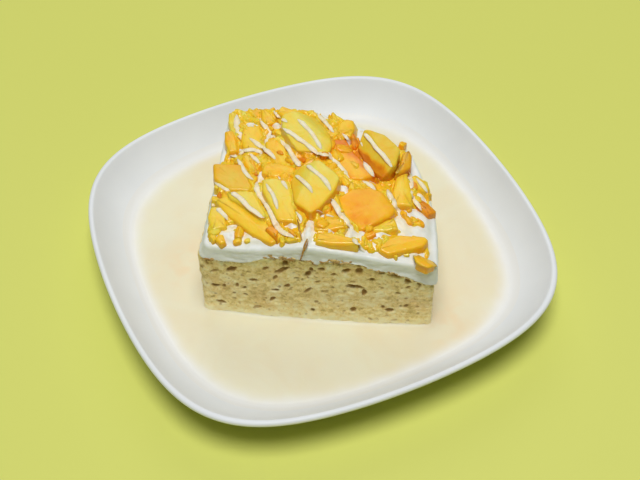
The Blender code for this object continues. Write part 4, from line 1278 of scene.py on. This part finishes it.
def shard_field(x, y, size, seed):
    """Uneven cells: how far inside one (0 at its edge), place in it, and four numbers of its own."""
    c, s = math.cos(math.radians(-48)), math.sin(math.radians(-48))
    u, v = (x * c + y * s) / (1.35 * size), (-x * s + y * c) / (0.85 * size)
    iu, iv = np.floor(u).astype(np.int64), np.floor(v).astype(np.int64)
    first, second = np.full(x.shape, 9.0), np.full(x.shape, 9.0)
    own = [np.zeros(x.shape) for _ in range(6)]
    for du in (-1, 0, 1):
        for dv in (-1, 0, 1):
            ju, jv = iu + du, iv + dv
            pu = ju + 0.5 + 0.44 * (2 * lattice(ju, jv, 0, seed) - 1)
            pv = jv + 0.5 + 0.44 * (2 * lattice(ju, jv, 1, seed) - 1)
            d = np.hypot(u - pu, v - pv)
            nearer = d < first
            second = np.where(nearer, first, np.minimum(second, d))
            first = np.where(nearer, d, first)
            fresh = [u - pu, v - pv] + [lattice(ju, jv, k, seed) for k in (2, 3, 4, 5)]
            own = [np.where(nearer, new, old) for new, old in zip(fresh, own)]
    return second - first, own[0] * 1.35 * size, own[1] * 0.85 * size, own[2:]


def build_puree():
    """The wet bed of crushed mango between the pieces, open where the cream shows."""
    step = 0.5
    xs, ys = np.arange(0.0, 97.0, step), np.arange(-3.0, 85.5, step)
    x, y = np.meshgrid(xs, ys, indexing="ij")
    inside = top_edge_distance(x, y)
    ragged = inside + 1.3 * fbm(x / 3.2, y / 3.2, 0.0, 91, 3) - 0.9 - 0.9 * (1 - smooth(1, 5, y))
    # the right-hand side is mostly bare cream with scattered bits
    bare = smooth(76, 84, x) * smooth(-1, 3, y) * (1 - smooth(34, 40, y))
    open_ = np.maximum(in_patch(x, y), bare * smooth(-0.35, 0.05, fbm(x / 4, y / 4, 2.0, 92, 2)))
    hold = smooth(0.0, 1.5, ragged) * (1 - open_)
    hold = hold * smooth(-0.66, -0.40, fbm(x / 3.4, y / 3.4, 8.0, 95, 3))
    hold = hold * (1 - smooth(64, 67, y) * smooth(57, 60, x)) * (1 - smooth(81.5, 83.5, x) * smooth(46, 49, y))
    wx, wy = x + 0.5 * noise(x / 1.5, y / 1.5, 0, 101), y + 0.5 * noise(x / 1.5, y / 1.5, 4, 102)
    gap, du, dv, own = shard_field(wx, wy, 5.0, 103)
    block = smooth(0.0, 0.22, gap)
    cut = 1.3 * own[0] + 0.30 * (2 * own[1] - 1) * du + 0.30 * (2 * own[2] - 1) * dv
    thick = 2.5 - 0.8 * (1 - smooth(6, 16, y)) - 0.6 * smooth(74, 82, x)
    thick = thick + cut * block + 0.35 * fbm(x / 4.0, y / 4.0, 5.0, 93, 3) + 0.16 * fbm(x / 1.2, y / 1.2, 5.0, 94, 2)
    rise_by, limit = np.zeros(x.shape), np.full(x.shape, 99.0)
    for number, row in enumerate(MANGO):
        away = from_piece(row, number, x, y)
        reach = min(1.5, 0.3 * row[7]) * (0.3 if row[0] in ("mango_tall", "mango_centre") else 1.0)
        rise_by = np.maximum(rise_by, reach * np.exp(-np.clip(away, 0, None) / 1.0))
        limit = np.minimum(limit, row[7] - 2.2 + 2.4 * smooth(-0.9, 0.9, away) + 99 * smooth(0.9, 2.5, away))
    thick = np.minimum(thick + rise_by, limit)
    floor = cream_z(x, y)
    z = floor - 0.9 + (thick + 0.9) * hold
    keep = hold > 0.06
    cell = keep[:-1, :-1] | keep[1:, :-1] | keep[:-1, 1:] | keep[1:, 1:]
    used = np.zeros(x.shape, bool)
    for di in (0, 1):
        for dj in (0, 1):
            used[di : di + cell.shape[0], dj : dj + cell.shape[1]] |= cell
    index = -np.ones(x.shape, int)
    index[used] = np.arange(used.sum())
    count = int(used.sum())
    px, py = to_plate(x[used], y[used])
    top = np.stack([px, py, z[used]], -1)
    bottom = np.stack([px, py, np.minimum(z[used] - 0.15, floor[used] - 1.3)], -1)
    i, j = np.nonzero(cell)
    a, b, c, d = index[i, j], index[i + 1, j], index[i + 1, j + 1], index[i, j + 1]
    quads = [np.stack([a, b, c, d], 1), np.stack([d, c, b, a], 1) + count]
    padded = np.zeros((cell.shape[0] + 2, cell.shape[1] + 2), bool)
    padded[1:-1, 1:-1] = cell
    for (p, q), (di, dj) in (((a, b), (0, -1)), ((b, c), (1, 0)), ((c, d), (0, 1)), ((d, a), (-1, 0))):
        rim = ~padded[i + 1 + di, j + 1 + dj]
        quads.append(np.stack([q[rim], p[rim], p[rim] + count, q[rim] + count], 1))
    # painted shade: the tone deepens along the cracks between the crushed cells
    tone = ripeness(x, y) + 0.36 * (own[3] - 0.5) + 0.12 * (1 - smooth(0.0, 0.16, gap))
    tone = np.clip(tone + 0.10 * fbm(x / 3, y / 3, 1.0, 96, 2), 0, 1)[used]
    return make_object(
        "mango_crushed", np.concatenate([top, bottom]), np.concatenate(quads).tolist(),
        {"tone": np.concatenate([tone, tone])},
    )


# Lines of drizzle as they run across the view: width, then points (x, y).
DRIZZLE = [
    (1.7, [(4.4, 77.5), (5.2, 73), (6.2, 68), (8.0, 63), (9.4, 59.8)]),
    (1.5, [(15.2, 76), (16.6, 73), (18.6, 69.5), (20.8, 66), (20.6, 62.5), (20.0, 58)]),
    (1.5, [(20.8, 81), (23.0, 77.8), (25.5, 75), (28.2, 72.6)]),
    (1.4, [(12.4, 62), (15, 59.6), (17.5, 57), (21, 54), (24, 50.6), (26, 47.6)]),
    (1.6, [(5.6, 48.8), (9.0, 49.8), (11, 52.4), (14, 54), (17, 53.6), (19.2, 51.8), (18.8, 49.8)]),
    (1.2, [(9.2, 48), (11, 45), (12.6, 42), (14.6, 38.6), (17, 36), (18.6, 35)]),
    (1.1, [(14, 52), (16, 49.4), (18.4, 46.6), (19.8, 44)]),
    (1.4, [(26.2, 69), (29, 66.4), (32, 63.6), (34.6, 60.6), (37.4, 58), (40, 55), (42, 52.6), (44.6, 50.4), (48, 49.6), (52, 46.8), (54.6, 43.5), (57, 40.6), (58.8, 38.2)]),
    (1.3, [(32, 75), (34.6, 72), (36.6, 69), (39.2, 65.4), (41.6, 61), (43.6, 57), (45.2, 53.6)]),
    (1.2, [(40.2, 78.6), (42.8, 75.4), (45.6, 71.4), (47.6, 68.4), (49.4, 66)]),
    (1.4, [(26.4, 61.4), (28, 58), (30.2, 55.4), (32.2, 51.4), (34.2, 47.4), (36.6, 43.6), (38.2, 42)]),
    (1.4, [(39.8, 43.6), (42.6, 40.2), (45.4, 37.6), (48, 35), (50.4, 31.2), (51.6, 28.4)]),
    (1.2, [(35.0, 38), (37.6, 35), (40.2, 32), (42.6, 29), (44.4, 25.4)]),
    (1.1, [(28.4, 37), (30.4, 34), (32.2, 31), (33.8, 28)]),
    (1.0, [(23.8, 33), (25.6, 29.4), (27.6, 26), (29.4, 21.6), (31.0, 16.4)]),
    (1.7, [(19.8, 34), (20.4, 30), (22, 26.4), (24.6, 22.4), (27, 18), (29.4, 13), (31, 9), (33, 5), (36, 2), (40, -0.4)]),
    (1.4, [(1.2, 33.2), (4, 31.2), (7.4, 29), (11.0, 26.4), (15, 23), (18.5, 18.6), (22, 15.6), (24.4, 13.2), (26.4, 11.8)]),
    (1.5, [(1.8, 20.6), (4, 19), (7, 16), (9.4, 13.6), (11.4, 10.6)]),
    (0.9, [(38.6, 14.8), (40.4, 12), (41.6, 9), (41.2, 6.6)]),
    (1.7, [(51.6, 24.4), (54.4, 20), (57, 15.6), (60, 12), (62.6, 8)]),
    (1.2, [(62.0, 4.4), (64.6, 1.4), (66.4, -1), (68.2, -3)]),
    (1.5, [(74.6, 36), (76, 32), (78, 28), (79.8, 24), (80.6, 21)]),
    (1.8, [(63.4, 51), (64.6, 48.4), (66.6, 45.4), (69, 41.4)]),
    (1.4, [(60.2, 71), (63, 69), (66, 65), (68.4, 61), (71, 58), (73.6, 54), (76, 50)]),
    (1.2, [(52.6, 66.8), (54.6, 64.6), (56.4, 61.6)]),
    (1.5, [(63.6, 38.4), (67, 36.6), (70, 34.0)]),
    (1.2, [(82.8, 50), (83.6, 46), (84.4, 42), (84.6, 37), (85.8, 33), (88, 29.4), (89.6, 26.4)]),
    (1.3, [(86.2, 46.6), (88.4, 43.4), (90.4, 40.4), (91.6, 37.6)]),
    (1.0, [(60.4, 65), (61.8, 62), (62.4, 60)]),
    (1.1, [(75.2, 68.4), (77, 66), (78.4, 63)]),
    (1.0, [(46.6, 15.6), (49.0, 14.4), (51.8, 14.0), (54.6, 13.6)]),
]


def curve_points(points, step):
    """A smooth curve through the points, with a point every step."""
    p = np.asarray(points, float)
    p = np.vstack([2 * p[0] - p[1], p, 2 * p[-1] - p[-2]])
    out = []
    for i in range(1, len(p) - 2):
        t = np.linspace(0, 1, 24, endpoint=False)[:, None]
        a, b, c, d = p[i - 1], p[i], p[i + 1], p[i + 2]
        out.append(0.5 * (2 * b + (c - a) * t + (2 * a - 5 * b + 4 * c - d) * t**2 + (3 * b - a - 3 * c + d) * t**3))
    out.append(p[-2][None])
    path = np.concatenate(out)
    at = np.concatenate([[0], np.cumsum(np.linalg.norm(np.diff(path, axis=0), axis=1))])
    want = np.linspace(0, at[-1], max(4, int(at[-1] / step)))
    return np.stack([np.interp(want, at, path[:, k]) for k in range(path.shape[1])], 1)


def blur(values, radius):
    kernel = np.exp(-((np.arange(-3 * radius, 3 * radius + 1) / radius) ** 2))
    kernel /= kernel.sum()
    padded = np.concatenate([np.full(3 * radius, values[0]), values, np.full(3 * radius, values[-1])])
    return np.convolve(padded, kernel, "valid")


def surface_of(objects):
    """A search tree over finished pieces, in mm."""
    points, faces, base = [], [], 0
    for obj in objects:
        mesh = obj.data
        co = np.empty(len(mesh.vertices) * 3)
        mesh.vertices.foreach_get("co", co)
        points.append(co.reshape(-1, 3) / MM)
        for poly in mesh.polygons:
            faces.append([v + base for v in poly.vertices])
        base += len(mesh.vertices)
    return BVHTree.FromPolygons(np.concatenate(points).tolist(), faces)


def tube(path, up, half_width, half_height, sides):
    """Closed flattened tube: rings along the path, each with its own width."""
    along = np.gradient(path, axis=0)
    along /= np.linalg.norm(along, axis=1)[:, None] + 1e-9
    side = np.cross(along, up)
    side /= np.linalg.norm(side, axis=1)[:, None] + 1e-9
    lift = np.cross(side, along)
    a = np.arange(sides) * 2 * math.pi / sides
    rings = (
        path[:, None, :]
        + side[:, None, :] * (half_width[:, None] * np.cos(a))[..., None]
        + lift[:, None, :] * (half_height[:, None] * np.sin(a))[..., None]
    )
    return rings


def build_drizzle(tree):
    """Soft ribbons that lie over the mango and bridge its smaller gaps."""
    points, faces, base = [], [], 0
    down = Vector((0, 0, -1))
    eye = Vector(CAMERA_AT)
    rng = np.random.default_rng(8)
    for k, (width, line) in enumerate(DRIZZLE):
        flat = curve_points(line, 0.45)
        spots = []
        for x, y in flat:
            px, py = to_plate(x, y)
            aim = Vector((px, py, float(cream_z(np.array([x]), np.array([y]))[0]) + 4.0))
            hit = tree.ray_cast(eye, (aim - eye).normalized())[0]
            spots.append(tuple(hit) if hit is not None else tuple(aim))
        spots = np.array(spots)
        # where the line drops behind a tall piece it breaks off and goes on below
        breaks = np.flatnonzero(np.linalg.norm(np.diff(spots, axis=0), axis=1) > 2.6) + 1
        for run in np.split(np.arange(len(spots)), breaks):
            if len(run) < 5:
                continue
            part = spots[run]
            part[:, 0], part[:, 1] = blur(part[:, 0], 2), blur(part[:, 1], 2)
            heights = []
            for px, py, _ in part:
                hit = tree.ray_cast(Vector((px, py, 80.0)), down)[0]
                heights.append(hit.z if hit is not None else 50.0)
            z = np.array(heights)
            bridged = np.array([z[max(0, i - 2) : i + 3].max() for i in range(len(z))])
            z = blur(0.55 * bridged + 0.45 * z, 2)
            index = np.arange(len(run))
            lead = index / (9.0 if run[0] == 0 else 3.0)
            tail = (len(run) - 1 - index) / (9.0 if run[-1] == len(spots) - 1 else 3.0)
            ends = np.clip(np.minimum(lead, tail), 0.004, 1) ** 0.6
            vary = 1 + 0.22 * fbm(run / 7, 0.0, k * 3.1, 97, 2)
            half = 0.5 * (1.35 * width + 0.35) * ends * vary
            high = np.clip(0.22 * half + 0.10, 0.05, 0.36) * ends
            path = np.stack([part[:, 0], part[:, 1], z + 0.25 * high], 1)
            rings = tube(path, np.array([0, 0, 1.0]), half, high, 12)
            n = rings.shape[1]
            points.append(np.concatenate([rings.reshape(-1, 3), [path[0]], [path[-1]]]))
            faces.extend((np.array(f)[::-1] + base).tolist() for f in skin_faces(len(rings), n))
            base += len(points[-1])
    return make_object("cream_drizzle", np.concatenate(points), faces)


def build_crumbs(tree):
    """Crumbs of sponge dragged over the cream by the knife, just above the seam."""
    rng = np.random.default_rng(21)
    points, faces, base = [], [], 0
    sides, rows = 9, 5
    a = np.arange(sides) * 2 * math.pi / sides
    spots = []
    for middle, spread, many, high in ((3, 1.6, 5, 1.2), (31, 3.0, 13, 1.9), (36, 2.0, 10, 1.4), (43, 4.0, 8, 1.0),
                                       (54, 4.0, 16, 1.6), (60, 1.6, 8, 1.2), (74, 5.0, 9, 0.6), (88, 4.0, 9, 0.5)):
        for _ in range(many):
            spots.append((rng.normal(middle, spread), rng.uniform(-0.3, high), rng.uniform(0.35, 0.85)))
    for x, above, size in spots:
        if not 2 < x < 95:
            continue
        z = float(seam_z(np.array([x]), np.array([0.0]))[0]) + above
        start = Vector((*to_plate(x, -12.0), z))
        ahead = Vector((*to_plate(x, 0.0), z)) - start
        hit = tree.ray_cast(start, ahead.normalized())[0]
        if hit is None:
            continue
        stretch = np.array([rng.uniform(1.0, 2.2), 0.55, rng.uniform(0.5, 0.9)]) * size
        ring = []
        for j in range(1, rows + 1):
            b = -math.pi / 2 + math.pi * j / (rows + 1)
            ring.append(np.stack([np.cos(b) * np.cos(a), np.cos(b) * np.sin(a), np.full(sides, math.sin(b))], 1))
        ball = np.concatenate([np.concatenate(ring), [[0, 0, -1.0]], [[0, 0, 1.0]]])
        ball = ball * (1 + rng.uniform(-0.22, 0.22, (len(ball), 1))) * stretch
        tilt = Matrix.Rotation(CAKE_YAW, 4, "Z") @ Matrix.Rotation(rng.uniform(-0.6, 0.6), 4, "Y")
        ball = ball @ np.array(tilt.to_3x3()).T + np.array(hit)
        points.append(ball)
        faces.extend((np.array(f) + base).tolist() for f in skin_faces(rows, sides))
        base += len(ball)
    count = sum(len(q) for q in points)
    # each crumb gets a darker tone of its own at random, in the attribute that also holds the sponge's painted hole
    # shade
    return make_object(
        "sponge_crumbs", np.concatenate(points), faces,
        {"hole_shade_and_crumb_tone": np.repeat(np.random.default_rng(4).uniform(0.45, 1.0, len(points)), [len(q) for q in points]), "low": np.zeros(count)},
    )


def build_strands():
    """Two thin golden-brown fibres at the middle of the front edge."""
    points, faces, base = [], [], 0
    lines = [
        (0.38, [(44.9, 0.6, 57.4), (44.2, -1.6, 56.4), (43.6, -3.2, 53.8), (43.0, -3.3, 51.2), (42.2, -3.1, 48.2)]),
        (0.34, [(39.9, 9.2, 58.9), (40.8, 7.0, 58.6), (41.4, 4.6, 57.8), (42.3, 2.4, 56.8), (42.8, 1.0, 56.0)]),
        (0.26, [(45.3, 0.0, 57.0), (44.9, -1.8, 56.0), (44.1, -3.1, 54.0)]),
    ]
    for k, (half, line) in enumerate(lines):
        path = curve_points(line, 0.4)
        px, py = to_plate(path[:, 0], path[:, 1])
        path = np.stack([px, py, path[:, 2]], 1)
        path[:, 0] += 0.12 * noise(path[:, 2] / 1.6, k, 0.0, 98)
        t = np.linspace(0, 1, len(path))
        width = half * (0.55 + 0.45 * np.sin(math.pi * np.clip(t * 0.9 + 0.05, 0, 1)))
        width = width * (1 + 0.2 * noise(t * 9, k, 1.0, 99))
        rings = tube(path, np.array([-0.5, -0.8, 0.3]), width, 0.7 * width, 10)
        points.append(np.concatenate([rings.reshape(-1, 3), [path[0]], [path[-1]]]))
        faces.extend((np.array(f)[::-1] + base).tolist() for f in skin_faces(len(rings), rings.shape[1]))
        base += len(points[-1])
    return make_object("golden_strands", np.concatenate(points), faces)


# ------------------------------------------------------------------ camera
def camera_axes():
    """Right, up and back of the camera in the plate's frame."""
    e, a, r = (math.radians(d) for d in (ELEVATION, AZIMUTH, ROLL))
    back = Vector((math.sin(a) * math.cos(e), -math.cos(a) * math.cos(e), math.sin(e)))
    right = Vector((math.cos(a), math.sin(a), 0.0))
    up = back.cross(right)
    return right * math.cos(r) + up * math.sin(r), up * math.cos(r) - right * math.sin(r), back


def make_camera():
    right, up, back = camera_axes()
    data = bpy.data.cameras.new("view")
    data.lens, data.sensor_width = LENS, 36.0
    data.clip_start, data.clip_end = 0.01, 50.0
    cam = bpy.data.objects.new("view", data)
    at = Vector(CAMERA_AT) * MM
    cam.matrix_world = Matrix(
        [(right[i], up[i], back[i], at[i]) for i in range(3)] + [(0, 0, 0, 1)]
    )
    bpy.context.scene.collection.objects.link(cam)
    bpy.context.scene.camera = cam


def pixel_ray(px, py):
    """The direction of a pixel of the 640 by 480 view, from the camera."""
    right, up, back = camera_axes()
    f = LENS / 36.0 * 640
    return (right * (px - 320) / f - up * (py - 240) / f - back).normalized()


def area_light(name, at, size, power, colour, towards=(0, 0, 0.02)):
    data = bpy.data.lights.new(name, "AREA")
    data.shape = "DISK"
    data.size, data.energy, data.color = size, power, colour
    lamp = bpy.data.objects.new(name, data)
    lamp.location = at
    direction = Vector(towards) - Vector(at)
    lamp.rotation_euler = direction.to_track_quat("-Z", "Y").to_euler()
    bpy.context.scene.collection.objects.link(lamp)
    return lamp


def seen_from(azimuth, elevation, distance):
    """A place by its direction: azimuth 0 lies straight behind the plate in the view."""
    a = math.radians(azimuth) + math.radians(AZIMUTH)
    e = math.radians(elevation)
    return (
        -math.sin(a) * math.cos(e) * distance,
        math.cos(a) * math.cos(e) * distance,
        math.sin(e) * distance,
    )


def make_light():
    area_light("key", seen_from(180, 79, 3.0), 1.5, 73.0, (1.0, 0.995, 0.985))
    area_light("back", seen_from(2, 42, 2.5), 1.6, 10.0, (1.0, 1.0, 1.0))
    world = bpy.data.worlds.new("studio")
    world.use_nodes = True
    back = world.node_tree.nodes["Background"]
    back.inputs["Color"].default_value = (0.95, 0.97, 1.0, 1.0)
    back.inputs["Strength"].default_value = 0.09
    bpy.context.scene.world = world
    bpy.context.scene.view_settings.view_transform = "Standard"
    bpy.context.scene.view_settings.look = "None"


def make_floor():
    bpy.ops.mesh.primitive_plane_add(size=6.0, location=(0, 0, 0))
    floor = bpy.context.object
    floor.name = "floor"
    floor.data.materials.append(floor_paint())


# ------------------------------------------------------------------ all of it
def add(piece, material, slot, *nodes):
    piece.data.materials.append(material)
    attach(piece, "root")
    if nodes:
        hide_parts(*nodes)
    return piece


def main():
    make_camera()
    make_light()
    make_floor()
    add(build_plate(), porcelain_paint(), "porcelain", "plate")
    add(build_milk(), milk_paint(), "milk", "milk")
    crumb = sponge_paint()
    add(build_sponge(), crumb, "sponge", "sponge")
    cream = add(build_cream(), cream_paint(), "cream", "cream")
    flesh = mango_paint()
    chunks = []
    for number, row in enumerate(MANGO):
        slot = "mango_pale" if row[0] in PALE else "mango"
        chunks.append(add(build_mango(row, number), flesh, slot, row[0]))
    puree = add(build_puree(), puree_paint(), "mango")
    bits = add(build_bits(), flesh, "mango")
    tree = surface_of([cream, puree, bits] + chunks)
    add(build_drizzle(tree), drizzle_paint(), "cream")
    add(build_crumbs(tree), crumb, "sponge")
    add(build_strands(), strand_paint(), "mango")


PALE = ("mango_back", "mango_centre", "mango_left_d", "mango_middle", "mango_pale_left", "mango_tall")
main()
